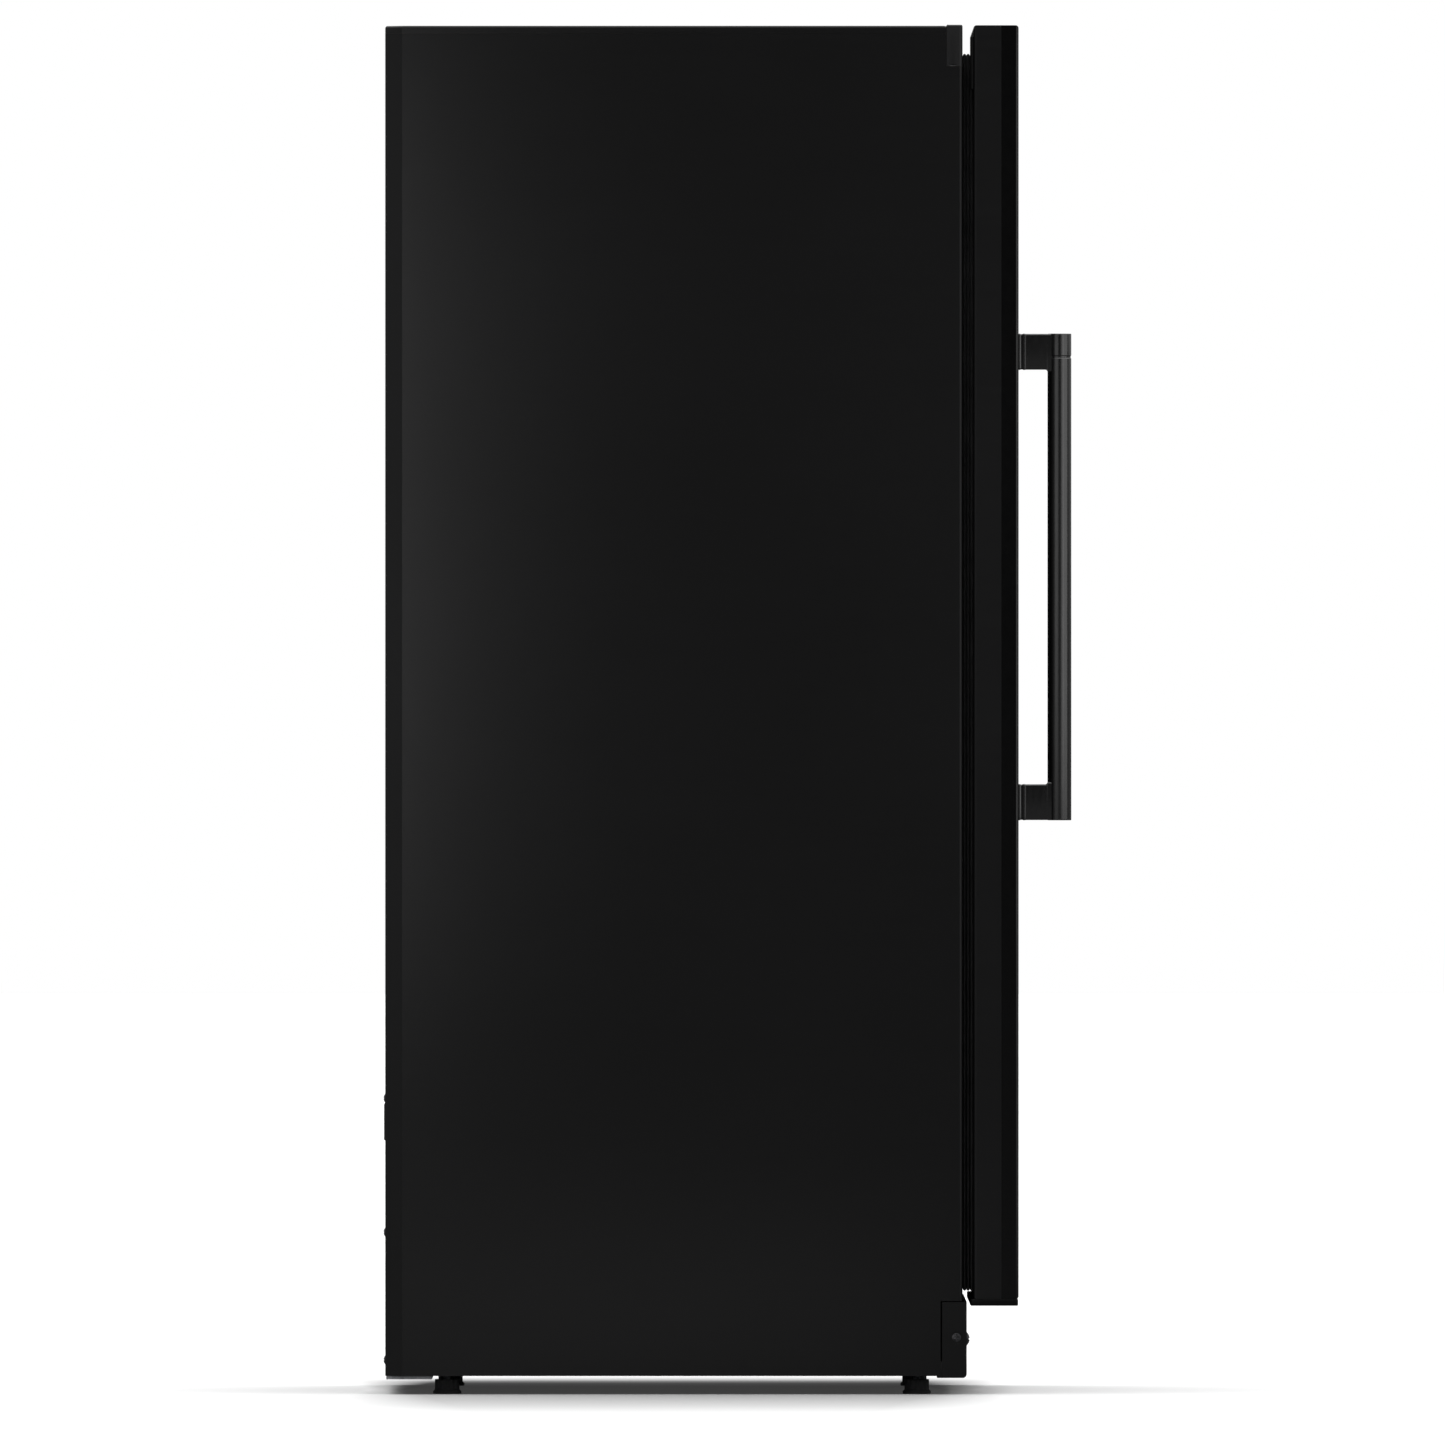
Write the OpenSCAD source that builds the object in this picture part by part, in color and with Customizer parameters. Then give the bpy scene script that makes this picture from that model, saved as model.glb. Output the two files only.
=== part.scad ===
// Tall dual-zone wine cooler. Millimetres, +Z up, front towards -Y, origin on the floor under its middle.

/* [Cabinet] */
// Width of the cabinet and of the door
cabinet_w = 595; // [500:5:714]
// Depth of the cabinet from its back to its front edge
cabinet_d = 569.6; // [540:0.4:690]
// Height of the cabinet's top above the floor
cabinet_h = 1350; // [1125:5:1620]
// Height of the cabinet's underside above the floor
base_z = 18.2; // [17:0.2:26]
// Thickness of the outer sheet panels
sheet = 1; // [0.8:0.1:1.4]
// Width that each side panel wraps round the front and the back
side_wrap = 20; // [18:0.5:24]
// Depth of the slanted strip along each rear corner
rear_slant = 16.8; // [8:0.4:17]
// Radius of the rolled front edges
edge_r = 3.5; // [2:0.5:5]
// Height of the top panel's folded skirt
top_fold = 7; // [5:0.5:12]
// Depth of the plastic cap on each top front corner
corner_cap_d = 15.8; // [10:0.2:20]
// Height of that cap below the top
corner_cap_h = 40; // [25:1:60]
// How far the corner caps stand above the top
corner_cap_proud = 1; // [0.5:0.1:2]

/* [Insulated cavity] */
// Thickness of the insulated side and top walls, liner included
wall_t = 47.5; // [40:0.5:57]
// Height of the cavity's floor above the floor
cavity_floor = 124; // [118:1:150]
// Thickness of the insulation under the cavity's floor
floor_t = 44; // [30:1:50]
// Thickness of the moulded liner
liner_t = 1.5; // [1:0.1:2.5]
// Distance from the cabinet's back to the back of the cavity
cavity_back_gap = 52; // [43:1:62]
// Depth of the air duct behind the shelves
duct_d = 44; // [40:1:53]
// Height of the wall that parts the two zones
divider_h = 50; // [44:1:60]
// Share of the cavity's height that lies below that wall
lower_share = 0.49; // [0.42:0.01:0.55]

/* [Machine bay] */
// Height of the machine bay's ceiling above the floor
bay_top = 300; // [290:5:350]
// Depth of the machine bay
bay_d = 215; // [200:5:250]
// Thickness of the insulation round the machine bay
bay_wall = 42; // [35:1:50]
// Radius of the compressor's shell
compressor_r = 70; // [58:1:80]
// Radius of the cooling fan's blades
cooling_fan_r = 56; // [46:1:64]

/* [Kick plate] */
// Height of the kick plate's lower edge above the floor
kick_z = 16.3; // [14:0.1:22]
// Height of the kick plate
kick_h = 74.9; // [60:0.5:76]
// How far the kick plate stands ahead of the cabinet
kick_proud = 4.1; // [2:0.1:4.4]
// How far it wraps back along each side
kick_wrap = 24.3; // [20:0.1:35]
// Thickness of its wall
kick_t = 1.6; // [1.2:0.1:2]

/* [Feet] */
// Radius of a foot's pad
foot_r = 14; // [11:0.5:15]
// Height of a foot's pad
foot_h = 15.2; // [13:0.1:16]
// Radius of a foot's threaded stud
foot_stud_r = 4; // [3:0.5:5]
// Distance of every foot from the cabinet's side
foot_side_in = 45; // [36:1:70]
// Distance of the front feet from the cabinet's front
foot_front_in = 45; // [42:1:70]
// Distance of the rear feet from the cabinet's back
foot_back_in = 61; // [60:1:80]

/* [Shelves] */
// Distance of the shelves' front edge behind the cabinet's front
shelf_setback = 38; // [34:1:60]
// Pitch between bottles lying side by side
bottle_pitch = 82; // [66:1:98]
// Depth of a bottle's cradle in the slats
cradle_depth = 6; // [4:0.5:8]
// Radius of a bottle's cradle
cradle_r = 42; // [40:1:48]

/* [Door] */
// Height of the door's lower edge above the floor
door_z = 87.5; // [80:0.5:100]
// Gap between the cabinet and the door
door_gap = 10.8; // [9:0.1:13]
// Depth of the door's rear frame
door_frame_d = 27.5; // [27.5:0.5:33]
// Depth of the door's glossy front frame
door_trim_d = 17; // [14:0.5:20]
// Width of the front frame's face round the glass
door_face_w = 55; // [45:1:66]
// Height of the end cap along the door's lower edge
end_cap_h = 6.7; // [5:0.1:8]
// Thickness of each glass pane
glass_t = 4; // [3:0.5:5]
// Gap between the two panes
glass_gap = 16; // [13:0.5:16]
// Width of the door gasket
gasket_w = 14; // [10:0.5:16]

/* [Hinges] */
// Distance of the hinge pins from the door's edge
pivot_in = 16; // [14:0.5:16]
// Distance of the hinge pins from the door's back
pivot_depth = 17; // [16:0.5:18]
// Radius of a hinge pin
pin_r = 3.5; // [2.9:0.05:4.2]
// Radial clearance of a pin in its bush
pin_clearance = 0.05; // [0.02:0.01:0.1]

/* [Handle] */
// Radius of the handle's bar
bar_r = 11.75; // [9:0.25:13]
// Length of the handle's bar
bar_len = 480.3; // [400:1:576]
// Height of the bar's lower end above the floor
bar_z = 566.3; // [450:0.1:600]
// Gap for the fingers between the door and the bar
finger_gap = 28.7; // [24:0.1:40]
// Distance of the bar's middle from the door's edge
bar_in = 30; // [24:1:36]
// Height of each post
post_h = 35.8; // [30:0.1:45]

/* [Mains inlet] */
// How far the inlet stands out of the back
inlet_proud = 5.3; // [3:0.1:9]
// Height of the inlet's flange
inlet_h = 50; // [45:1:60]
// Width of the inlet's flange
inlet_w = 22.5; // [20:0.5:30]
// Height of the flange's lower edge above the floor
inlet_z = 243; // [200:1:245]

/* [Hidden] */
$fn = 48;
clearance = 0.3;
seam = 0.2;
reach = 4000;

overall_d = inlet_proud + cabinet_d + door_gap + door_frame_d + door_trim_d + finger_gap + 2 * bar_r;
half_w = cabinet_w / 2;
back_y = overall_d / 2 - inlet_proud;
front_y = back_y - cabinet_d;
side_top = cabinet_h - top_fold - clearance;
cap_bottom = cabinet_h - corner_cap_h;
frame_half_w = half_w - side_wrap - seam;
kick_front = front_y - kick_proud;
kick_back = kick_front + kick_wrap;
kick_top = kick_z + kick_h;
kick_seam = 1.5;
notch_top = kick_top + 1;

cavity_half_w = half_w - wall_t;
cavity_top = cabinet_h - wall_t - 2.5;
cavity_back = back_y - cavity_back_gap;
cover_t = 2.5;
cover_y = cavity_back - duct_d;
bay_front = back_y - bay_d;
step_y = bay_front - bay_wall;
step_z = bay_top + bay_wall;
divider_low = cavity_floor + (cavity_top - cavity_floor) * lower_share - divider_h / 2;
divider_top = divider_low + divider_h;
floor_under = cavity_floor - floor_t;

base_t = 1.5;
crossmember_d = 45;
crossmember_drop = 3.6;
bay_floor = base_z + base_t;

upper_count = 5;
lower_count = 4;
shelf_y = front_y + shelf_setback;
shelf_half_w = cavity_half_w - 3;
shelf_back_gap = 8;
shelf_rail_w = 14;
shelf_rail_h = 16;
slat_t = 10;
slat_w = 44;
slat_count = 6;
short_slat_count = 4;
lip_t = 22;
lip_drop = 9;
lip_rise = 10;
runner_w = 12;
runner_h = 8;
runner_y = shelf_y + lip_t + 4;
upper_pitch = (cavity_top - divider_top - 12) / upper_count;
lower_pitch = (divider_low - step_z - 12) / (lower_count - 1);
upper_shelf_z = [for (i = [0 : upper_count - 1]) divider_top + 12 + i * upper_pitch];
raised_shelf_z = [for (i = [0 : lower_count - 2]) step_z + 12 + i * lower_pitch];
lower_shelf_z = concat([(cavity_floor + step_z) / 2], raised_shelf_z);
full_shelf_d = cover_y - shelf_back_gap - shelf_y;
short_shelf_d = step_y - shelf_back_gap - shelf_y;

door_back = front_y - door_gap;
door_front = door_back - door_frame_d - door_trim_d;
door_top = cabinet_h + 0.5;
ring_z = door_z + end_cap_h;
door_wall = 1.5;
door_back_r = 3;
trim_wall = 2.5;
trim_r = 3;
ring_low = [-half_w, ring_z];
ring_high = [half_w, door_top];
cap_lip = 3.2;
glass_in = 28;
window_in = door_face_w + 1;
glass_y = door_front + trim_wall;
inner_glass_y = glass_y + glass_t + glass_gap;
glass_back = inner_glass_y + glass_t;
spacer_in = 5;
spacer_w = 10;
gasket_in = 26;
gasket_low = ring_z + 7.8;
gasket_top = door_top - 27.8;
carrier_in = 23.7;
carrier_low = gasket_low - 4;
carrier_top = gasket_top + 4;
carrier_t = 8.5;
carrier_lip = 4;

pivot_x = half_w - pivot_in;
pivot_y = door_back - pivot_depth;
arm_half_w = 5.5;
arm_t = 5;
arm_gap = 1;
pin_len = 16;
bracket_t = 3;
bracket_w = 21;
bracket_h = 46;
bracket_x = half_w - 2 - bracket_w / 2;
bottom_arm_z = cavity_floor - 1;
top_arm_z = gasket_top - 22;
bracket_screw_z = [bottom_arm_z + 14.5, bottom_arm_z + 32.5, top_arm_z - 14.5, top_arm_z - 32.5];
bush_len = 14;
screw_r = 2.5;
screw_head_r = 4.6;

post_w = 18;
bar_y = door_front - finger_gap - bar_r;
bar_x = bar_in - half_w;
groove_w = 3;
groove_depth = 0.6;
groove_in = 23;

inlet_x = 235;
vent_gap = 12;
kick_screw_z = 54.7;
side_screw_z = kick_screw_z + 1.5;
side_screw_y = front_y + 6;
kick_screw_x = half_w - 20;
cover_screw_x = frame_half_w - 8;
cover_screw_z = [bay_floor + 14, (bay_floor + bay_top) / 2, bay_top - 8];
bay_mid_y = (bay_front + back_y) / 2;
compressor_x = 62;
compressor_h = 150;
compressor_z = bay_floor + 11;
compressor_top = compressor_z + compressor_h;
condenser_x = -190;
cooling_fan_x = -75;
cooling_fan_z = bay_floor + cooling_fan_r + 12;
zone_low = [step_z, divider_top];
zone_high = [divider_low, cavity_top];
zone_fan_z = [zone_high[0] - 80, zone_high[1] - 90];
zone_fan_r = 46;
coil_share = 0.53;
coil_low_share = 0.34;

button_x = [-110, -80, 80, 110];
button_r = 6;
button_proud = 1.2;
panel_t = 3;
panel_y = front_y + 6;
panel_z = (divider_low + divider_top) / 2;
display_w = 92;
display_h = 22;

// ---------- shapes used by several pieces ----------

// A box between two opposite corners.
module block(low, high) {
  translate(low) cube(high - low);
}

// A flat shape drawn in (y, z), carried across the width w.
module across(w) {
  rotate([90, 0, 90]) linear_extrude(height = w, center = true) children();
}

// A flat shape drawn in (x, z), carried from depth y0 to depth y1.
module depthwise(y0, y1) {
  translate([0, y1, 0]) rotate([90, 0, 0]) linear_extrude(height = y1 - y0) children();
}

// Turns a shape that stands on +Z so that it points along +X.
module toward_x() {
  rotate([0, 90, 0]) children();
}

// Turns a shape that stands on +Z so that it points along -Y.
module toward_front() {
  rotate([90, 0, 0]) children();
}

// The cabinet seen from above, drawn in by inset, with slanted rear and rounded front corners.
module cabinet_plan(inset) {
  w = half_w - inset;
  slant_in = inset * (sqrt(2) - 1);
  slant_y = back_y - rear_slant - slant_in;
  slant_x = half_w - rear_slant - slant_in;
  polygon([[w, front_y + edge_r], [w, slant_y], [slant_x, back_y - inset],
      [-slant_x, back_y - inset], [-w, slant_y], [-w, front_y + edge_r]]);
  translate([edge_r - half_w, front_y + inset]) square([cabinet_w - 2 * edge_r, edge_r]);
  for (side = [-1, 1])
    translate([side * (half_w - edge_r), front_y + edge_r]) circle(r = edge_r - inset);
}

// The sheet that runs round the cabinet between two heights.
module cabinet_sheet(low, high) {
  translate([0, 0, low]) linear_extrude(height = high - low) difference() {
    cabinet_plan(0);
    cabinet_plan(sheet);
  }
}

// The space of the two top front corner caps, grown by gap.
module corner_cap_space(gap) {
  for (side = [-1, 1])
    translate([side * (half_w + side_wrap / 2 - side_wrap), front_y, cap_bottom - gap])
      translate([-side_wrap / 2 - gap, -1, 0])
        cube([side_wrap + 2 * gap, corner_cap_d + gap + 1, corner_cap_h + 5]);
}

// The cold cavity's side outline, grown by grow on every wall, from the given front depth.
module cavity_outline(grow, front) {
  polygon([[front, cavity_floor - grow], [step_y + grow, cavity_floor - grow],
      [step_y + grow, step_z - grow], [cavity_back + grow, step_z - grow],
      [cavity_back + grow, cavity_top + grow], [front, cavity_top + grow]]);
}

// One length of a mitred frame: its section is drawn in (inward, y) and it runs up +Z.
module mitred_length(len, face, gap) {
  intersection() {
    linear_extrude(height = len) children();
    depthwise(-reach, reach)
      polygon([[0, gap], [face, face + gap], [face, len - face - gap], [0, len - gap]]);
  }
}

// A mitred rectangle between two (x, z) corners; gap leaves a hairline at each mitre.
module mitred_ring(low, high, face, gap) {
  tall = high[1] - low[1];
  wide = high[0] - low[0];
  translate([low[0], 0, low[1]]) mitred_length(tall, face, gap) children();
  translate([high[0], 0, low[1]]) mirror([1, 0, 0]) mitred_length(tall, face, gap) children();
  translate([low[0], 0, high[1]]) toward_x() mitred_length(wide, face, gap) children();
  translate([low[0], 0, low[1]]) mirror([0, 0, 1]) toward_x() mitred_length(wide, face, gap) children();
}

// A low domed screw head standing on +Z, with a short shank below it.
module domed_screw(head_r, head_h, shank_len) {
  dome_r = (head_r * head_r + head_h * head_h) / (2 * head_h);
  intersection() {
    cylinder(r = head_r, h = head_h + 1);
    translate([0, 0, head_h - dome_r]) sphere(r = dome_r);
  }
  translate([0, 0, -shank_len]) cylinder(r = screw_r, h = shank_len + 0.1);
}

// An axial fan along +Z: a hub with tilted blades trimmed to the radius.
module fan_rotor(radius, hub_r, depth, blades) {
  cylinder(r = hub_r, h = depth, center = true);
  intersection() {
    cylinder(r = radius, h = depth, center = true);
    for (i = [0 : blades - 1])
      rotate([0, 0, i * 360 / blades]) translate([radius / 2, 0, 0]) rotate([38, 0, 0])
        cube([radius + 2, depth * 1.6, 1.4], center = true);
  }
}

// A straight pipe with round ends between two points.
module pipe(from, to, r) {
  run = to - from;
  len = norm(run);
  translate(from) rotate([0, acos(run[2] / len), atan2(run[1], run[0])]) cylinder(r = r, h = len);
  translate(from) sphere(r = r);
  translate(to) sphere(r = r);
}

// ---------- cabinet ----------

module side_panel(side) {
  color("#1f1f20") difference() {
    intersection() {
      cabinet_sheet(base_z, side_top);
      translate([side * half_w, 0, cabinet_h / 2]) cube([2 * side_wrap, reach, reach], center = true);
    }
    corner_cap_space(clearance);
    block([-half_w - 1, front_y - 1, 0], [half_w + 1, kick_back + kick_seam, notch_top]);
  }
}

module side_panel_left() {
  side_panel(-1);
}

module side_panel_right() {
  side_panel(1);
}

module top_panel() {
  color("#202021") difference() {
    union() {
      cabinet_sheet(cabinet_h - top_fold, cabinet_h);
      translate([0, 0, cabinet_h - sheet]) linear_extrude(height = sheet) cabinet_plan(0);
    }
    corner_cap_space(clearance);
  }
}

module corner_caps() {
  color("#28282a") difference() {
    intersection() {
      translate([0, 0, cap_bottom]) linear_extrude(height = corner_cap_h + corner_cap_proud) cabinet_plan(0);
      corner_cap_space(0);
    }
    for (side = [-1, 1])
      translate([side * half_w, front_y + corner_cap_d / 2, cap_bottom + 5]) cube([1, 6, 1.2], center = true);
  }
}

module rear_panel() {
  color("#1c1c1d")
    block([-frame_half_w, back_y - sheet, bay_top + seam], [frame_half_w, back_y, side_top]);
}

module front_frame() {
  color("#202021") difference() {
    block([-frame_half_w, front_y, notch_top], [frame_half_w, front_y + sheet, side_top]);
    block([-cavity_half_w, front_y - 1, cavity_floor], [cavity_half_w, front_y + 5, cavity_top]);
  }
}

// The hairline seams between the nine blocks of insulation: four in the sides, and five between them.
module foam_seams() {
  in_x = cavity_half_w + liner_t;
  step_back = step_y + liner_t;
  for (x = [-in_x - seam, in_x])
    block([x, front_y - 1, 0], [x + seam, back_y + 1, cabinet_h]);
  block([-half_w, front_y - 1, bay_top], [half_w, back_y + 1, bay_top + seam]);
  block([-in_x, front_y - 1, cavity_top + liner_t], [in_x, back_y + 1, cavity_top + liner_t + seam]);
  block([-in_x, cavity_back, step_z - liner_t - seam], [in_x, back_y + 1, step_z - liner_t]);
  block([-in_x, step_back, 0], [in_x, step_back + seam, bay_top]);
}

module insulation_foam() {
  color("#d9cfae") difference() {
    translate([0, 0, floor_under])
      linear_extrude(height = cabinet_h - sheet - floor_under) cabinet_plan(sheet);
    across(2 * (cavity_half_w + liner_t)) cavity_outline(liner_t, front_y - 1);
    block([-half_w, bay_front, 0], [half_w, back_y + 1, bay_top]);
    block([-half_w, front_y - 1, 0], [half_w, kick_back + kick_seam, notch_top]);
    corner_cap_space(0);
    foam_seams();
  }
}

module inner_liner() {
  color("#26282b") difference() {
    across(2 * (cavity_half_w + liner_t)) cavity_outline(liner_t, front_y + sheet);
    across(2 * cavity_half_w) cavity_outline(0, front_y - 1);
  }
}

module zone_divider() {
  color("#232426") difference() {
    block([-cavity_half_w, panel_y, divider_low], [cavity_half_w, cover_y, divider_top]);
    for (x = button_x)
      translate([x, panel_y + 6, panel_z]) toward_front() cylinder(r = button_r + 1, h = 7);
  }
}

module base_plate() {
  inner = half_w - sheet;
  plate_front = kick_back + kick_seam + 4;
  plate_back = back_y - sheet;
  color("#2a2a2b") difference() {
    union() {
      block([-inner, plate_front, base_z], [inner, back_y - rear_slant - 2, bay_floor]);
      block([-inner + side_wrap, plate_front, base_z], [inner - side_wrap, plate_back, bay_floor]);
      block([-inner + side_wrap, plate_back - crossmember_d, base_z - crossmember_drop],
        [inner - side_wrap, plate_back, bay_floor]);
      for (side = [-1, 1], y = [front_y + foot_front_in, back_y - foot_back_in])
        translate([side * (half_w - foot_side_in), y, base_z]) cylinder(r = 10, h = 14);
    }
    for (side = [-1, 1], y = [front_y + foot_front_in, back_y - foot_back_in])
      translate([side * (half_w - foot_side_in), y, 0]) cylinder(r = foot_stud_r + clearance, h = 80);
  }
}

module kick_plate() {
  bottom_r = 4;
  rows = 5;
  slot_h = 5;
  slot_w = (cabinet_w - 130) / 3 - vent_gap;
  first_z = kick_z + 18;
  color("#262627") difference() {
    intersection() {
      block([-half_w, kick_front, kick_z], [half_w, kick_back, kick_top]);
      across(cabinet_w + 2) union() {
        translate([kick_front, kick_z + bottom_r]) square([kick_wrap, kick_h]);
        translate([kick_front + bottom_r, kick_z]) square([kick_wrap, kick_h]);
        translate([kick_front + bottom_r, kick_z + bottom_r]) circle(r = bottom_r);
      }
    }
    block([-half_w + kick_t, kick_front + kick_t, 0], [half_w - kick_t, kick_back + 1, kick_top - kick_t]);
    for (row = [0 : rows - 1], column = [-1 : 1])
      translate([column * (slot_w + vent_gap), kick_front, first_z + row * 2 * slot_h])
        cube([slot_w, 8, slot_h], center = true);
    for (side = [-1, 1]) {
      translate([side * kick_screw_x, kick_front, kick_screw_z]) toward_front()
        cylinder(r = screw_r + clearance, h = 8, center = true);
      translate([side * half_w, side_screw_y, side_screw_z]) toward_x() {
        cylinder(r = screw_r + clearance, h = 8, center = true);
        cylinder(r = 6.3, h = 1.4, center = true);
      }
    }
  }
}

module screws() {
  color("#38383a") {
    for (side = [-1, 1]) {
      translate([side * kick_screw_x, kick_front, kick_screw_z]) toward_front() domed_screw(6.9, 3.3, 6);
      translate([side * (half_w - 0.7), side_screw_y, side_screw_z]) rotate([0, side * 90, 0])
        domed_screw(5, 0.7, 5);
    }
    for (side = [-1, 1], z = cover_screw_z)
      translate([side * cover_screw_x, back_y, z]) rotate([-90, 0, 0]) domed_screw(screw_head_r, 2, 6);
    for (z = bracket_screw_z)
      translate([bracket_x, front_y, z]) toward_front()
        cylinder(r1 = screw_r, r2 = screw_head_r, h = bracket_t);
  }
}

module foot(side, y) {
  color("#161616") translate([side * (half_w - foot_side_in), y, 0]) {
    rotate_extrude()
      polygon([[0, 0], [foot_r, 0], [foot_r, 3], [foot_r - 1.5, 5], [foot_r - 1.5, foot_h], [0, foot_h]]);
    cylinder(r = foot_stud_r, h = base_z + 24);
  }
}

module foot_front_left() {
  foot(-1, front_y + foot_front_in);
}

module foot_front_right() {
  foot(1, front_y + foot_front_in);
}

module foot_rear_left() {
  foot(-1, back_y - foot_back_in);
}

module foot_rear_right() {
  foot(1, back_y - foot_back_in);
}

// ---------- machine bay ----------

module rear_cover() {
  slot_w = frame_half_w - 40;
  color("#1d1d1e") difference() {
    block([-frame_half_w, back_y - sheet, bay_floor + clearance], [frame_half_w, back_y, bay_top]);
    for (row = [0 : 9], side = [-1, 1])
      translate([side * (slot_w / 2 + 10), back_y, bay_floor + 40 + row * vent_gap])
        cube([slot_w, 8, 5], center = true);
    for (side = [-1, 1], z = cover_screw_z)
      translate([side * cover_screw_x, back_y, z]) toward_front()
        cylinder(r = screw_r + clearance, h = 8, center = true);
    translate([inlet_x, back_y, inlet_z + inlet_h / 2])
      cube([inlet_w - 4, 8, inlet_h - 14], center = true);
  }
}

module mains_inlet() {
  middle_z = inlet_z + inlet_h / 2;
  body_d = 24;
  color("#2b2b2d") translate([inlet_x, 0, 0]) {
    difference() {
      union() {
        across(inlet_w)
          polygon([[back_y, inlet_z], [back_y + inlet_proud, inlet_z + 3],
              [back_y + inlet_proud, inlet_z + inlet_h - 12], [back_y, inlet_z + inlet_h]]);
        translate([0, back_y - body_d / 2, middle_z])
          cube([inlet_w - 5, body_d + 1, inlet_h - 15], center = true);
      }
      translate([0, back_y + inlet_proud - 9, middle_z - 2])
        cube([inlet_w - 9, 20, inlet_h - 24], center = true);
    }
    for (z = [-7, 0, 7])
      translate([0, back_y - 9, middle_z - 2 + z]) cube([5, 14, 1.6], center = true);
  }
}

module compressor() {
  r = compressor_r;
  grommet_r = 9;
  color("#141415") translate([compressor_x, bay_mid_y, compressor_z]) {
    intersection() {
      cylinder(r = r, h = compressor_h);
      translate([0, 0, compressor_h / 2]) sphere(r = sqrt(r * r + compressor_h * compressor_h / 6));
    }
    translate([0, 0, compressor_h / 2]) cylinder(r = r + 2.5, h = 6, center = true);
    translate([0, 0, -1]) cube([2 * r + 10, 2 * r, 4], center = true);
    for (sx = [-1, 1], sy = [-1, 1])
      translate([sx * (r - 4), sy * (r - 10), bay_floor - compressor_z])
        cylinder(r = grommet_r, h = compressor_z - bay_floor - 2);
    translate([r + 4, 0, compressor_h / 2 - 8]) cube([34, 46, 52], center = true);
  }
}

module condenser() {
  rows = 8;
  row_pitch = 22;
  pipe_r = 3;
  run = 120;
  fins = 7;
  low_z = bay_floor + 24;
  color("#3a2c22") translate([condenser_x, bay_mid_y, low_z]) {
    for (layer = [0, 1], row = [0 : rows - 1])
      translate([layer * 30, 0, row * row_pitch]) toward_front() cylinder(r = pipe_r, h = run, center = true);
    for (layer = [0, 1], row = [0 : rows - 2]) {
      side = row % 2 == 0 ? 1 : -1;
      translate([layer * 30, side * run / 2, (row + 0.5) * row_pitch]) toward_x()
        rotate([0, 0, side > 0 ? 0 : 180]) rotate_extrude(angle = 180)
          translate([row_pitch / 2, 0]) circle(r = pipe_r);
    }
    for (i = [0 : fins - 1])
      translate([15, (i - (fins - 1) / 2) * run / fins, row_pitch * (rows - 1) / 2])
        cube([46, 1, row_pitch * rows - 6], center = true);
  }
}

module condenser_fan_shroud() {
  side = 2 * cooling_fan_r + 22;
  depth = 26;
  color("#1a1a1b") translate([cooling_fan_x, bay_mid_y, cooling_fan_z]) toward_x() difference() {
    union() {
      difference() {
        cube([side, side, depth], center = true);
        cylinder(r = cooling_fan_r + 3, h = depth + 2, center = true);
      }
      translate([0, 0, -depth / 2 + 1.5]) {
        for (turn = [0, 60, 120])
          rotate([0, 0, turn]) cube([side - 8, 5, 3], center = true);
        cylinder(r = 22, h = 3, center = true);
      }
    }
    translate([0, 0, -depth]) cylinder(r = 2, h = depth);
  }
}

module condenser_fan() {
  color("#101011") translate([cooling_fan_x + 2.5, bay_mid_y, cooling_fan_z]) toward_x()
    fan_rotor(cooling_fan_r, 19, 18, 7);
}

module drip_tray() {
  tray = [120, 100, 28];
  color("#303033") translate([compressor_x, bay_mid_y, compressor_top + tray[2] / 2]) difference() {
    cube(tray, center = true);
    translate([0, 0, 2]) cube([tray[0] - 4, tray[1] - 4, tray[2]], center = true);
  }
}

module electronics_box() {
  box_w = 78;
  box_top = inlet_z + inlet_h - 8;
  box_back = back_y - 30;
  color("#29292b") {
    block([inlet_x - box_w / 2, box_back - 120, inlet_z - 60], [inlet_x + box_w / 2, box_back, box_top - 3]);
    block([inlet_x - box_w / 2 - 2, box_back - 122, box_top - 3],
      [inlet_x + box_w / 2 + 2, box_back + 2, box_top]);
    for (side = [-1, 1], x = inlet_x + side * 30)
      block([x - 4, box_back - 100, box_top], [x + 4, box_back - 20, bay_top]);
  }
}

module refrigerant_lines() {
  line_r = 3;
  high_z = bay_top - 20;
  line_y = bay_front + 18;
  shell_y = bay_mid_y - compressor_r + 2;
  hot_x = compressor_x - 30;
  cold_x = compressor_x + 30;
  coil_x = condenser_x + 15;
  color("#a8663c") {
    pipe([hot_x, shell_y, bay_floor + 90], [hot_x, line_y, bay_floor + 90], line_r);
    pipe([hot_x, line_y, bay_floor + 90], [hot_x, line_y, high_z], line_r);
    pipe([hot_x, line_y, high_z], [coil_x, line_y, high_z], line_r);
    pipe([coil_x, line_y, high_z], [coil_x, bay_mid_y, high_z], line_r);
    translate([coil_x + 60, line_y, high_z]) toward_x() cylinder(r = 9, h = 70, center = true);
    pipe([cold_x, shell_y, bay_floor + 70], [cold_x, line_y, bay_floor + 70], line_r);
    pipe([cold_x, line_y, bay_floor + 70], [cold_x, line_y, bay_top - line_r], line_r);
  }
}

// ---------- inside the two zones ----------

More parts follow.
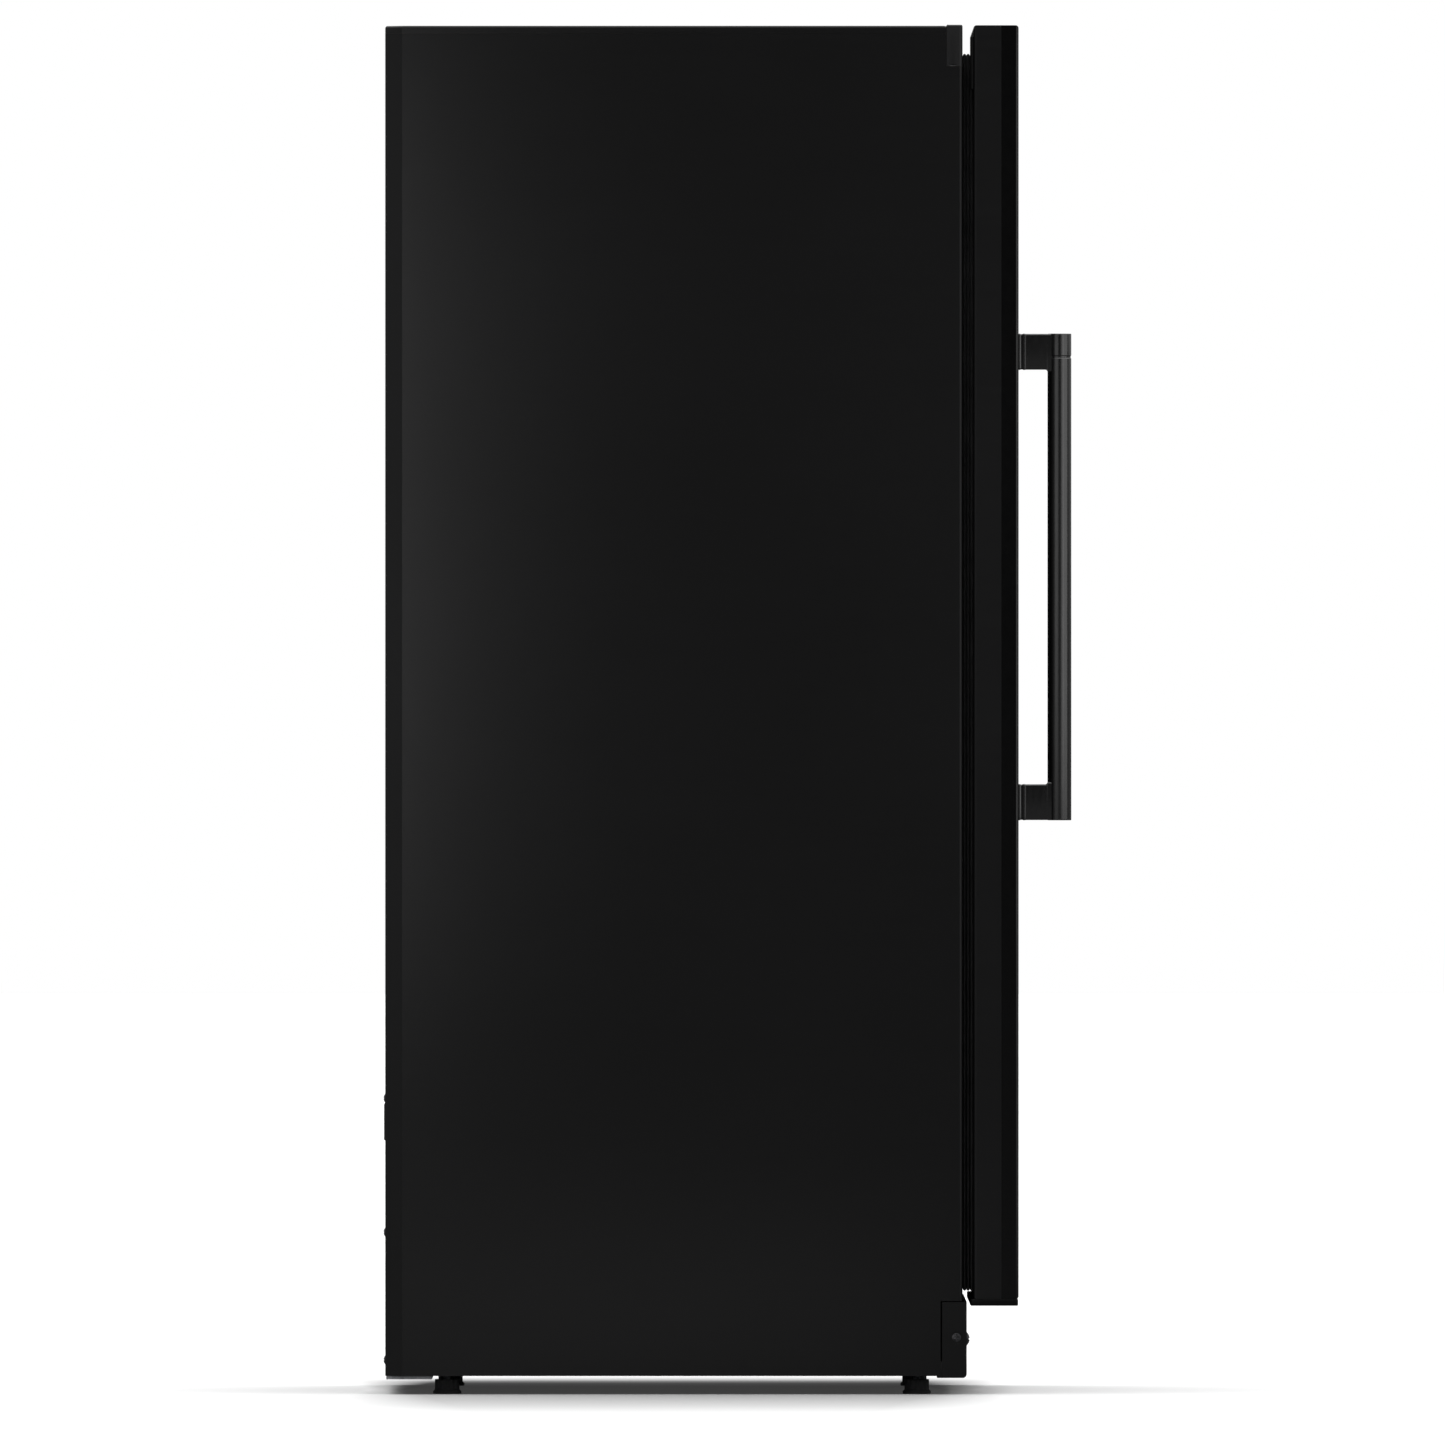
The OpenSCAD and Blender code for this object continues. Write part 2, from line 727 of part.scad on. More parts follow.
module evaporator_covers() {
  color("#2c2e31") for (i = [0, 1]) difference() {
    block([-cavity_half_w, cover_y, zone_low[i]], [cavity_half_w, cover_y + cover_t, zone_high[i]]);
    intersection() {
      translate([0, cover_y, zone_fan_z[i]]) toward_front()
        cylinder(r = zone_fan_r + 4, h = 20, center = true);
      for (bar = [-5 : 5])
        translate([bar * 9, cover_y, zone_fan_z[i]]) cube([6, 20, 200], center = true);
    }
    for (row = [0 : 3], side = [-1, 0, 1])
      translate([side * 120, cover_y, zone_low[i] + 26 + row * 11]) cube([100, 20, 5], center = true);
  }
}

module evaporators() {
  under_fan = zone_fan_z[0] - zone_fan_r - zone_low[0];
  coil_h = under_fan * coil_share;
  coil_low = under_fan * coil_low_share;
  coil_rows = 5;
  coil_w = 320;
  coil_d = 26;
  fins = 41;
  end_plate_t = 2;
  mid_y = (cover_y + cover_t + cavity_back) / 2;
  color("#b9bcc0") for (i = [0, 1]) translate([0, mid_y, zone_low[i] + coil_low + coil_h / 2]) {
    for (fin = [0 : fins - 1])
      translate([(fin - (fins - 1) / 2) * coil_w / fins, 0, 0]) cube([0.8, coil_d, coil_h], center = true);
    for (row = [0 : coil_rows - 1])
      translate([0, 0, (row - (coil_rows - 1) / 2) * coil_h / coil_rows]) toward_x()
        cylinder(r = 4, h = coil_w + 20, center = true);
    for (side = [-1, 1])
      translate([side * (coil_w / 2 + 4), 0, 0])
        cube([end_plate_t, cavity_back - cover_y - cover_t, coil_h + 10], center = true);
  }
}

module zone_fan(i) {
  color("#141415") translate([0, cover_y + cover_t + 20, zone_fan_z[i]]) toward_front()
    fan_rotor(zone_fan_r, 15, 16, 7);
}

module lower_fan() {
  zone_fan(0);
}

module upper_fan() {
  zone_fan(1);
}

module light_strips() {
  strip_h = 6;
  color("#f2f4f6") for (z = zone_high)
    block([-180, front_y + 18, z - strip_h], [180, front_y + 30, z]);
}

// The pair of wall runners under a shelf whose underside is at z.
module runner_pair(z, back) {
  for (side = [-1, 1])
    translate([side * (cavity_half_w - runner_w / 2), (runner_y + back) / 2, z - clearance - runner_h / 2])
      cube([runner_w, back - runner_y, runner_h], center = true);
}

module shelf_rails() {
  color("#33353a") {
    for (z = upper_shelf_z)
      runner_pair(z, cover_y);
    for (i = [0 : lower_count - 1])
      runner_pair(lower_shelf_z[i], i == 0 ? step_y : cover_y);
  }
}

// A wooden shelf: two side rails, a front lip and cross slats with bottle cradles.
module shelf(z, depth, slats) {
  bottles = floor(2 * shelf_half_w / bottle_pitch);
  first = lip_t + slat_w / 2 + 10;
  last = depth - slat_w / 2;
  color("#c69a63") translate([0, shelf_y, z]) difference() {
    union() {
      for (side = [-1, 1])
        translate([side * (shelf_half_w - shelf_rail_w / 2), depth / 2, shelf_rail_h / 2])
          cube([shelf_rail_w, depth, shelf_rail_h], center = true);
      block([-shelf_half_w, 0, -lip_drop], [shelf_half_w, lip_t, shelf_rail_h + lip_rise]);
      for (i = [0 : slats - 1])
        translate([0, first + i * (last - first) / (slats - 1), shelf_rail_h - slat_t / 2])
          cube([2 * shelf_half_w - 2, slat_w, slat_t], center = true);
    }
    for (i = [0 : bottles - 1])
      translate([(i - (bottles - 1) / 2) * bottle_pitch, depth / 2, shelf_rail_h + cradle_r - cradle_depth])
        rotate([90, 0, 0]) cylinder(r = cradle_r, h = depth + 10, center = true);
  }
}

module upper_shelf(i) {
  shelf(upper_shelf_z[i], full_shelf_d, slat_count);
}

module lower_shelf(i) {
  shelf(lower_shelf_z[i], i == 0 ? short_shelf_d : full_shelf_d, i == 0 ? short_slat_count : slat_count);
}

// ---------- controls on the wall between the zones ----------

module control_panel() {
  color("#0e0e0f") difference() {
    block([-cavity_half_w, panel_y - panel_t, divider_low + 1], [cavity_half_w, panel_y, divider_top - 1]);
    translate([0, panel_y - panel_t, panel_z]) cube([display_w, 3, display_h], center = true);
    for (x = button_x)
      translate([x, panel_y, panel_z]) toward_front()
        cylinder(r = button_r + clearance, h = 20, center = true);
  }
}

module display_window() {
  color("#101418") translate([0, panel_y - panel_t + 0.75, panel_z])
    cube([display_w - 0.6, 1.5, display_h - 0.6], center = true);
}

module control_button(i) {
  color("#3c3d40") translate([button_x[i], panel_y - panel_t - button_proud, panel_z]) rotate([-90, 0, 0])
    cylinder(r = button_r, h = button_proud + panel_t);
}

module button_power() {
  control_button(0);
}

module button_light() {
  control_button(1);
}

module button_up() {
  control_button(2);
}

module button_down() {
  control_button(3);
}

// ---------- door ----------

// The space that a hinge arm sweeps through the door, seen from inside the door.
module hinge_pocket(z) {
  block([pivot_x - arm_half_w - 1, pivot_y - 10, z - arm_t / 2 - arm_gap],
    [half_w + 1, door_back + 1, z + arm_t / 2 + arm_gap]);
}

module door_frame() {
  color("#242425") difference() {
    mitred_ring(ring_low, ring_high, carrier_in + 1, seam / 2) union() {
      translate([0, door_back - door_frame_d]) square([door_wall, door_frame_d - door_back_r]);
      translate([door_back_r, door_back - door_wall]) square([carrier_in - door_back_r, door_wall]);
      translate([0, door_back - door_frame_d]) square([carrier_in - 4, door_wall]);
      intersection() {
        translate([door_back_r, door_back - door_back_r]) difference() {
          circle(r = door_back_r);
          circle(r = door_back_r - door_wall);
        }
        translate([0, door_back - door_back_r]) square(door_back_r);
      }
    }
    block([carrier_in - half_w, door_back - carrier_t, carrier_low],
      [half_w - carrier_in, door_back + 1, carrier_top]);
    hinge_pocket(bottom_arm_z);
    hinge_pocket(top_arm_z);
  }
}

module door_trim() {
  color("#0c0c0d") mitred_ring(ring_low, ring_high, door_face_w + 1, seam / 2) union() {
    translate([0, door_front + trim_r]) square([trim_wall, door_trim_d - trim_r]);
    translate([trim_r, door_front]) square([door_face_w - trim_r - trim_wall / 2, trim_wall]);
    translate([trim_r, door_front + trim_r]) circle(r = trim_r);
    translate([door_face_w - trim_wall / 2, door_front + trim_wall / 2]) circle(r = trim_wall / 2);
  }
}

module door_pane(y) {
  block([glass_in - half_w, y, ring_z + glass_in], [half_w - glass_in, y + glass_t, door_top - glass_in]);
}

module outer_glass() {
  color([0.1, 0.11, 0.12, 0.5]) door_pane(glass_y);
}

module inner_glass() {
  color([0.1, 0.11, 0.12, 0.5]) door_pane(inner_glass_y);
}

module glass_spacer() {
  in = glass_in + spacer_in;
  color("#3b3b3c")
    mitred_ring([in - half_w, ring_z + in], [half_w - in, door_top - in], spacer_w + 1, 0)
      translate([0, glass_y + glass_t]) square([spacer_w, glass_gap]);
}

module gasket_carrier() {
  window_half_w = half_w - window_in;
  window_low = ring_z + window_in;
  window_top = door_top - window_in;
  color("#303033") difference() {
    union() {
      block([carrier_in - half_w, door_back - carrier_t, carrier_low],
        [half_w - carrier_in, door_back, carrier_top]);
      block([-window_half_w - carrier_lip, glass_back, window_low - carrier_lip],
        [window_half_w + carrier_lip, door_back - 1, window_top + carrier_lip]);
    }
    block([-window_half_w, glass_back - 1, window_low], [window_half_w, door_back + 1, window_top]);
    hinge_pocket(bottom_arm_z);
    hinge_pocket(top_arm_z);
  }
}

module door_gasket() {
  rib_in = 1.6;
  face_y = front_y - clearance - 0.05;
  depth = face_y - door_back;
  w = gasket_w;
  color("#131314") mitred_ring([gasket_in - half_w, gasket_low], [half_w - gasket_in, gasket_top], w + 1, 0)
    translate([0, door_back])
      polygon([[rib_in, 0], [rib_in, depth * 0.08], [0, depth * 0.14], [0, depth * 0.34],
          [rib_in, depth * 0.42], [rib_in, depth * 0.54], [0, depth * 0.6], [0, depth * 0.84],
          [rib_in, depth * 0.92], [rib_in, depth], [w - rib_in, depth], [w - rib_in, depth * 0.92],
          [w, depth * 0.84], [w, depth * 0.6], [w - rib_in, depth * 0.54], [w - rib_in, depth * 0.42],
          [w, depth * 0.34], [w, depth * 0.14], [w - rib_in, depth * 0.08], [w - rib_in, 0]]);
}

module door_end_caps() {
  corner = 3;
  lip_end = pivot_x - 2;
  plate_low = top_arm_z - 14;
  color("#151516") {
    translate([0, 0, door_z]) linear_extrude(height = end_cap_h)
      polygon([[corner - half_w, door_front + 0.5], [half_w - corner, door_front + 0.5],
          [half_w, door_front + 0.5 + corner], [half_w, door_back - corner], [half_w - corner, door_back],
          [lip_end, door_back], [lip_end, door_back + cap_lip], [-half_w, door_back + cap_lip],
          [-half_w, door_front + 0.5 + corner]]);
    block([-half_w, door_back, plate_low], [-half_w + carrier_in - 1.5, door_back + cap_lip, plate_low + 53]);
  }
}

// ---------- hinges ----------

module hinge_bracket(z, pin_side) {
  bracket_low = pin_side > 0 ? z - arm_t / 2 : z + arm_t / 2 - bracket_h;
  color("#4a4b4d") difference() {
    union() {
      translate([bracket_x - bracket_w / 2, front_y - bracket_t, bracket_low])
        cube([bracket_w, bracket_t, bracket_h]);
      block([pivot_x - arm_half_w, pivot_y, z - arm_t / 2],
        [pivot_x + arm_half_w, front_y - 1, z + arm_t / 2]);
      translate([pivot_x, pivot_y, z - arm_t / 2]) cylinder(r = arm_half_w, h = arm_t);
      translate([pivot_x, pivot_y, pin_side > 0 ? z : z - pin_len - arm_t / 2])
        cylinder(r = pin_r, h = pin_len + arm_t / 2);
    }
    for (screw_z = bracket_screw_z)
      translate([bracket_x, front_y, screw_z]) toward_front() {
        cylinder(r1 = screw_r, r2 = screw_head_r, h = bracket_t);
        cylinder(r = screw_r, h = 1, center = true);
      }
  }
}

module hinge_bottom() {
  hinge_bracket(bottom_arm_z, 1);
}

module hinge_top() {
  hinge_bracket(top_arm_z, -1);
}

module hinge_bushes() {
  bush_low = [bottom_arm_z + arm_t / 2 + arm_gap, top_arm_z - arm_t / 2 - arm_gap - bush_len];
  color("#d8d8d4") for (z = bush_low) difference() {
    block([half_w - carrier_in + clearance, door_back - door_frame_d + door_wall, z],
      [half_w - door_wall, door_back - door_wall, z + bush_len]);
    translate([pivot_x, pivot_y, z - 1]) cylinder(r = pin_r + pin_clearance, h = bush_len + 2);
  }
}

// ---------- handle ----------

module handle_bar() {
  color("#1b1b1c") translate([bar_x, bar_y, bar_z]) difference() {
    cylinder(r = bar_r, h = bar_len);
    translate([0, 0, bar_len - groove_in - groove_w / 2]) difference() {
      cylinder(r = bar_r + 1, h = groove_w);
      translate([0, 0, -1]) cylinder(r = bar_r - groove_depth, h = groove_w + 2);
    }
  }
}

module handle_posts() {
  color("#1b1b1c") for (z = [bar_z, bar_z + bar_len - post_h]) difference() {
    block([bar_x - post_w / 2, bar_y, z], [bar_x + post_w / 2, door_front, z + post_h]);
    translate([bar_x, bar_y, z - 1]) cylinder(r = bar_r, h = post_h + 2);
    block([bar_x - post_w, bar_y - bar_r - 1, z - 1], [bar_x + post_w, bar_y, z + post_h + 1]);
  }
}

side_panel_left();
side_panel_right();
top_panel();
rear_panel();
base_plate();
front_frame();
inner_liner();
insulation_foam();
zone_divider();
kick_plate();
screws();
corner_caps();
foot_front_left();
foot_front_right();
foot_rear_left();
foot_rear_right();
rear_cover();
mains_inlet();
compressor();
condenser();
condenser_fan_shroud();
condenser_fan();
drip_tray();
electronics_box();
refrigerant_lines();
evaporator_covers();
evaporators();
upper_fan();
lower_fan();
light_strips();
shelf_rails();
control_panel();
display_window();
button_power();
button_light();
button_up();
button_down();
upper_shelf(0);  // upper_shelf_1
upper_shelf(1);  // upper_shelf_2
upper_shelf(2);  // upper_shelf_3
upper_shelf(3);  // upper_shelf_4
upper_shelf(4);  // upper_shelf_5
lower_shelf(0);  // lower_shelf_1
lower_shelf(1);  // lower_shelf_2
lower_shelf(2);  // lower_shelf_3
lower_shelf(3);  // lower_shelf_4
door_frame();
door_trim();
outer_glass();
inner_glass();
glass_spacer();
gasket_carrier();
door_gasket();
door_end_caps();
hinge_top();
hinge_bottom();
hinge_bushes();
handle_bar();
handle_posts();
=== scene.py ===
"""Tall dual-zone wine cooler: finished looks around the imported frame."""
import math

import bmesh
import bpy
import numpy as np
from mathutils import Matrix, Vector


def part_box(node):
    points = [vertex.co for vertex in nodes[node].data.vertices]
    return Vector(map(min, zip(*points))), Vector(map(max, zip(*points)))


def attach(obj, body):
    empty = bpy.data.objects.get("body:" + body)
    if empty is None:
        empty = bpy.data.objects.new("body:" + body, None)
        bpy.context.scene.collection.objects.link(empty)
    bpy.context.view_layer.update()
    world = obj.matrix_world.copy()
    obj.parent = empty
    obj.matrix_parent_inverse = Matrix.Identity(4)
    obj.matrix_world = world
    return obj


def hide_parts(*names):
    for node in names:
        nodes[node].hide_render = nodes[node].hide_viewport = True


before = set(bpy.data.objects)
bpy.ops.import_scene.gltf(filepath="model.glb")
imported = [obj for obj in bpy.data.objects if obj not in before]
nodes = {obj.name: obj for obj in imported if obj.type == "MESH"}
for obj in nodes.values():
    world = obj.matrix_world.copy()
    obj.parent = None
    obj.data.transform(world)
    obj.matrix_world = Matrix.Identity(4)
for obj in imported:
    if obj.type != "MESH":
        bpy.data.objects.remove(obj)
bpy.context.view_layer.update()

# ---------- camera: a long lens square to the cooler's left side ----------

VIEW_HEIGHT = 1.4252        # metres of the near side that the picture takes in
VIEW_DISTANCE = 41.0        # from the near side to the lens, in metres
VIEW_Y = 0.0031             # the lens's place along the cooler's depth
VIEW_Z = 0.6628             # and its height over the floor
VIEW_REACH = (1.0, 120.0)   # the nearest and farthest that the lens draws
SENSOR = 36.0               # its sensor's width, in millimetres


def add_camera():
    """Camera level with the cooler's lower middle, looking along +X."""
    near_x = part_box("side_panel_left")[0][0]
    data = bpy.data.cameras.new("side_camera")
    data.sensor_width = SENSOR
    data.lens = SENSOR * VIEW_DISTANCE / VIEW_HEIGHT
    data.clip_start, data.clip_end = VIEW_REACH
    camera = bpy.data.objects.new("side_camera", data)
    camera.location = (near_x - VIEW_DISTANCE, VIEW_Y, VIEW_Z)
    camera.rotation_euler = (math.radians(90), 0, math.radians(-90))
    bpy.context.scene.collection.objects.link(camera)
    bpy.context.scene.camera = camera


# ---------- studio ----------

# Each soft box: its place, what it faces, its width and height (metres), its power, its beam (degrees).
SOFT_BOXES = {
    "rear_box": ((-3.4, 1.45, 1.0), (0, 0, 0.75), (2.2, 1.8), 7, 180),
    "front_box": ((-2.0, -2.8, 1.0), (-0.3, -0.3, 0.75), (2.8, 1.8), 16, 180),
    "rear_strip": ((-0.95, 0.72, 0.88), (0, 0.72, 0.88), (0.4, 0.9), 3.1, 90),
    "front_strip": ((-0.95, -0.72, 0.9), (0, -0.72, 0.9), (0.4, 0.9), 0.4, 120),
    "floor_strip": ((-0.8, 0.28, 0.08), (0, 0.28, 0.08), (1.0, 0.1), 0.1, 120),
}
OVERHEAD_SPREAD = 110             # how wide the light straight above is, in degrees
ROOM_TURN = (-0.45, 0.3)          # the room's light grows between these X of the way that it comes from
FLOOR_HALF = 60.0                 # half the floor's width, in metres
POOL_ENDS = (-2.5, 0.9)           # the pool of shade on the floor runs between these X, in metres
# How far along the pool, and the floor's tone there. A ramp starts with two stops, so its two ends come first.
POOL_TONES = ((0.0, 1.0), (1.0, 1.0), (0.176, 0.93), (0.324, 0.78), (0.441, 0.6), (0.547, 0.49),
              (0.647, 0.5), (0.794, 0.1), (0.838, 0.0), (0.882, 0.12), (0.935, 0.6))
POOL_PAINTED_GLOW = 0.045                 # painted light: a faint glow inside the pool that only the lens sees, standing for what is left of the light there
POOL_SOFT = (0.015, 0.06)         # half width of its side edges, and how much that grows per metre away


def add_area(name, place, target, size, power, beam):
    """A soft rectangular light at place, facing target; beam is how wide it shines, in degrees."""
    data = bpy.data.lights.new(name, "AREA")
    data.shape = "RECTANGLE"
    data.size, data.size_y = size
    data.energy = power
    data.spread = math.radians(beam)
    light = bpy.data.objects.new(name, data)
    light.location = place
    way = np.array(target, float) - np.array(place, float)
    yaw = math.atan2(way[1], way[0])
    pitch = math.atan2(math.hypot(way[0], way[1]), -way[2])
    light.rotation_euler = (pitch, 0, yaw - math.pi / 2)
    bpy.context.scene.collection.objects.link(light)


def add_overhead(strength):
    """A very wide sun straight above, so that the floor is evenly white however far it runs."""
    data = bpy.data.lights.new("overhead", "SUN")
    data.energy = strength
    data.angle = math.radians(OVERHEAD_SPREAD)
    light = bpy.data.objects.new("overhead", data)
    light.location = (0, 0, 6)
    bpy.context.scene.collection.objects.link(light)


def math_node(tree, operation, *values):
    """A Math node over sockets or plain numbers."""
    node = tree.nodes.new("ShaderNodeMath")
    node.operation = operation
    for socket, value in zip(node.inputs, values):
        if isinstance(value, (int, float)):
            socket.default_value = value
        else:
            tree.links.new(value, socket)
    return node.outputs[0]


def ways(tree, output):
    """X, Y and Z of a Texture Coordinate output."""
    place = tree.nodes.new("ShaderNodeTexCoord")
    apart = tree.nodes.new("ShaderNodeSeparateXYZ")
    tree.links.new(place.outputs[output], apart.inputs[0])
    return apart.outputs


def add_world(seen, near_side, far_side):
    """A pale studio all round: seen is what the lens sees of it.

    What falls on the cooler grows from near_side, where the lens stands, to far_side.
    """
    world = bpy.data.worlds.new("studio")
    bpy.context.scene.world = world
    world.use_nodes = True
    tree = world.node_tree
    tree.nodes.clear()
    out = tree.nodes.new("ShaderNodeOutputWorld")
    mix = tree.nodes.new("ShaderNodeMixShader")
    path = tree.nodes.new("ShaderNodeLightPath")
    lit, plain = tree.nodes.new("ShaderNodeBackground"), tree.nodes.new("ShaderNodeBackground")
    plain.inputs["Strength"].default_value = seen
    for shade in (lit, plain):
        shade.inputs["Color"].default_value = (1, 1, 1, 1)
    near_to_far = spread(tree, ways(tree, "Generated")["X"], near_side, far_side, *ROOM_TURN)
    tree.links.new(near_to_far, lit.inputs["Strength"])
    tree.links.new(path.outputs["Is Camera Ray"], mix.inputs["Fac"])
    tree.links.new(lit.outputs[0], mix.inputs[1])
    tree.links.new(plain.outputs[0], mix.inputs[2])
    tree.links.new(mix.outputs[0], out.inputs["Surface"])


def add_floor(seen, bounced):
    """A pale floor with a soft pool of shade painted on it, along X between the cabinet's front and back, and
    a faint painted glow inside the pool that only the lens sees.

    seen is its tone in the picture and bounced the tone that it throws on the cooler.
    """
    half = FLOOR_HALF
    corners = [(-half, -half, 0), (half, -half, 0), (half, half, 0), (-half, half, 0)]
    mesh = bpy.data.meshes.new("floor")
    mesh.from_pydata(corners, [], [(0, 1, 2, 3)])
    floor = bpy.data.objects.new("floor", mesh)
    bpy.context.scene.collection.objects.link(floor)
    material = bpy.data.materials.new("studio_floor")
    material.use_nodes = True
    tree = material.node_tree
    shader = tree.nodes["Principled BSDF"]
    shader.inputs["Roughness"].default_value = 0.9
    shader.inputs["Specular IOR Level"].default_value = 0.0
    place = ways(tree, "Object")
    low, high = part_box("side_panel_left")
    middle, half_deep = (low[1] + high[1]) / 2, (high[1] - low[1]) / 2
    aside = math_node(tree, "ABSOLUTE", math_node(tree, "SUBTRACT", place["Y"], middle))
    soft = math_node(tree, "MULTIPLY_ADD", math_node(tree, "ABSOLUTE", place["X"]), POOL_SOFT[1],
                     POOL_SOFT[0])
    within = math_node(tree, "DIVIDE", math_node(tree, "SUBTRACT", half_deep, aside), soft)
    inside = spread(tree, within, 0, 1, -1, 1)
    ramp = tree.nodes.new("ShaderNodeValToRGB")
    for i, (at, tone) in enumerate(POOL_TONES):
        stop = ramp.color_ramp.elements[i] if i < 2 else ramp.color_ramp.elements.new(at)
        stop.position, stop.color = at, (tone, tone, tone, 1)
    tree.links.new(spread(tree, place["X"], 0, 1, *POOL_ENDS), ramp.inputs["Fac"])
    shade = math_node(tree, "MULTIPLY", inside, math_node(tree, "SUBTRACT", 1.0, ramp.outputs["Color"]))
    tone = math_node(tree, "MULTIPLY", seen, math_node(tree, "SUBTRACT", 1.0, shade))
    path = tree.nodes.new("ShaderNodeLightPath")
    mix = tree.nodes.new("ShaderNodeMix")
    mix.inputs["A"].default_value = bounced
    tree.links.new(path.outputs["Is Camera Ray"], mix.inputs["Factor"])
    tree.links.new(tone, mix.inputs["B"])
    tree.links.new(mix.outputs["Result"], shader.inputs["Base Color"])
    # painted light: inside the pool the floor glows faintly, for camera rays only
    glow = math_node(tree, "MULTIPLY", inside, POOL_PAINTED_GLOW)
    seen_glow = math_node(tree, "MULTIPLY", path.outputs["Is Camera Ray"], glow)
    shader.inputs["Emission Color"].default_value = (1, 1, 1, 1)
    tree.links.new(seen_glow, shader.inputs["Emission Strength"])
    mesh.materials.append(material)


def light_studio():
    """Soft boxes behind and before the side, strips near its edges, a light overhead and a pale room."""
    add_world(seen=1.0, near_side=0.04, far_side=0.5)
    add_floor(seen=0.95, bounced=0.1)
    add_overhead(strength=3.3)
    for name, setting in SOFT_BOXES.items():
        add_area(name, *setting)
    bpy.context.scene.view_settings.view_transform = "Standard"


# ---------- finishes ----------


def new_finish(name, colour, roughness, metallic=0.0, specular=0.5):
    """A material with plain values on its shader, and the nodes that its patterns use."""
    material = bpy.data.materials.new(name)
    material.use_nodes = True
    tree = material.node_tree
    shader = tree.nodes["Principled BSDF"]
    shader.inputs["Base Color"].default_value = (*colour, 1)
    shader.inputs["Roughness"].default_value = roughness
    shader.inputs["Metallic"].default_value = metallic
    shader.inputs["Specular IOR Level"].default_value = specular
    return material, tree, shader


def on_object(tree, kind, stretch):
    """A texture node on Object coordinates; stretch is its frequency per metre along X, Y and Z."""
    place = tree.nodes.new("ShaderNodeTexCoord")
    mapping = tree.nodes.new("ShaderNodeMapping")
    mapping.inputs["Scale"].default_value = stretch
    texture = tree.nodes.new(kind)
    texture.inputs["Scale"].default_value = 1.0
    tree.links.new(place.outputs["Object"], mapping.inputs["Vector"])
    tree.links.new(mapping.outputs["Vector"], texture.inputs["Vector"])
    return texture


def noise(tree, stretch, detail=3.0, warp=0.0):
    """A soft noise between 0 and 1."""
    texture = on_object(tree, "ShaderNodeTexNoise", stretch)
    texture.inputs["Detail"].default_value = detail
    texture.inputs["Roughness"].default_value = 0.55
    texture.inputs["Distortion"].default_value = warp
    return texture.outputs["Fac"]


def cells(tree, stretch):
    """Cells, each with a colour of its own and the distance from its middle."""
    return on_object(tree, "ShaderNodeTexVoronoi", stretch)


def spread(tree, value, low, high, start=0.3, end=0.7):
    """Takes a value from start..end to low..high."""
    node = tree.nodes.new("ShaderNodeMapRange")
    node.inputs["From Min"].default_value = start
    node.inputs["From Max"].default_value = end
    node.inputs["To Min"].default_value = low
    node.inputs["To Max"].default_value = high
    tree.links.new(value, node.inputs["Value"])
    return node.outputs["Result"]


def blend_colours(tree, value, first, second, start=0.35, end=0.65):
    """A colour that runs from first to second as value runs from start to end."""
    node = tree.nodes.new("ShaderNodeMix")
    node.data_type = "RGBA"
    node.inputs["A"].default_value = (*first, 1)
    node.inputs["B"].default_value = (*second, 1)
    tree.links.new(spread(tree, value, 0, 1, start, end), node.inputs["Factor"])
    return node.outputs["Result"]


def raise_surface(tree, shader, value, depth):
    """Bump of the given depth in metres from a value between 0 and 1."""
    bump = tree.nodes.new("ShaderNodeBump")
    bump.inputs["Distance"].default_value = depth
    bump.inputs["Strength"].default_value = 1.0
    tree.links.new(value, bump.inputs["Height"])
    tree.links.new(bump.outputs["Normal"], shader.inputs["Normal"])


def mottled(name, colour, roughness, metallic=0.0, specular=0.5, tone=0.15, patch=9.0,
            grain=(900, 900, 900),
            depth=0.00002, matt=0.06):
    """A finish whose colour drifts over patches, and whose roughness and surface follow a fine grain."""
    material, tree, shader = new_finish(name, colour, roughness, metallic, specular)
    drift = noise(tree, (patch, patch, patch), detail=2.0)
    darker = tuple(c * (1 - tone) for c in colour)
    lighter = tuple(c * (1 + tone) for c in colour)
    tree.links.new(blend_colours(tree, drift, darker, lighter), shader.inputs["Base Color"])
    fine = noise(tree, grain)
    tree.links.new(spread(tree, fine, roughness - matt, roughness + matt), shader.inputs["Roughness"])
    raise_surface(tree, shader, fine, depth)
    return material


def coated(material, weight, roughness):
    """Adds a clear coat."""
    shader = material.node_tree.nodes["Principled BSDF"]
    shader.inputs["Coat Weight"].default_value = weight
    shader.inputs["Coat Roughness"].default_value = roughness
    return material


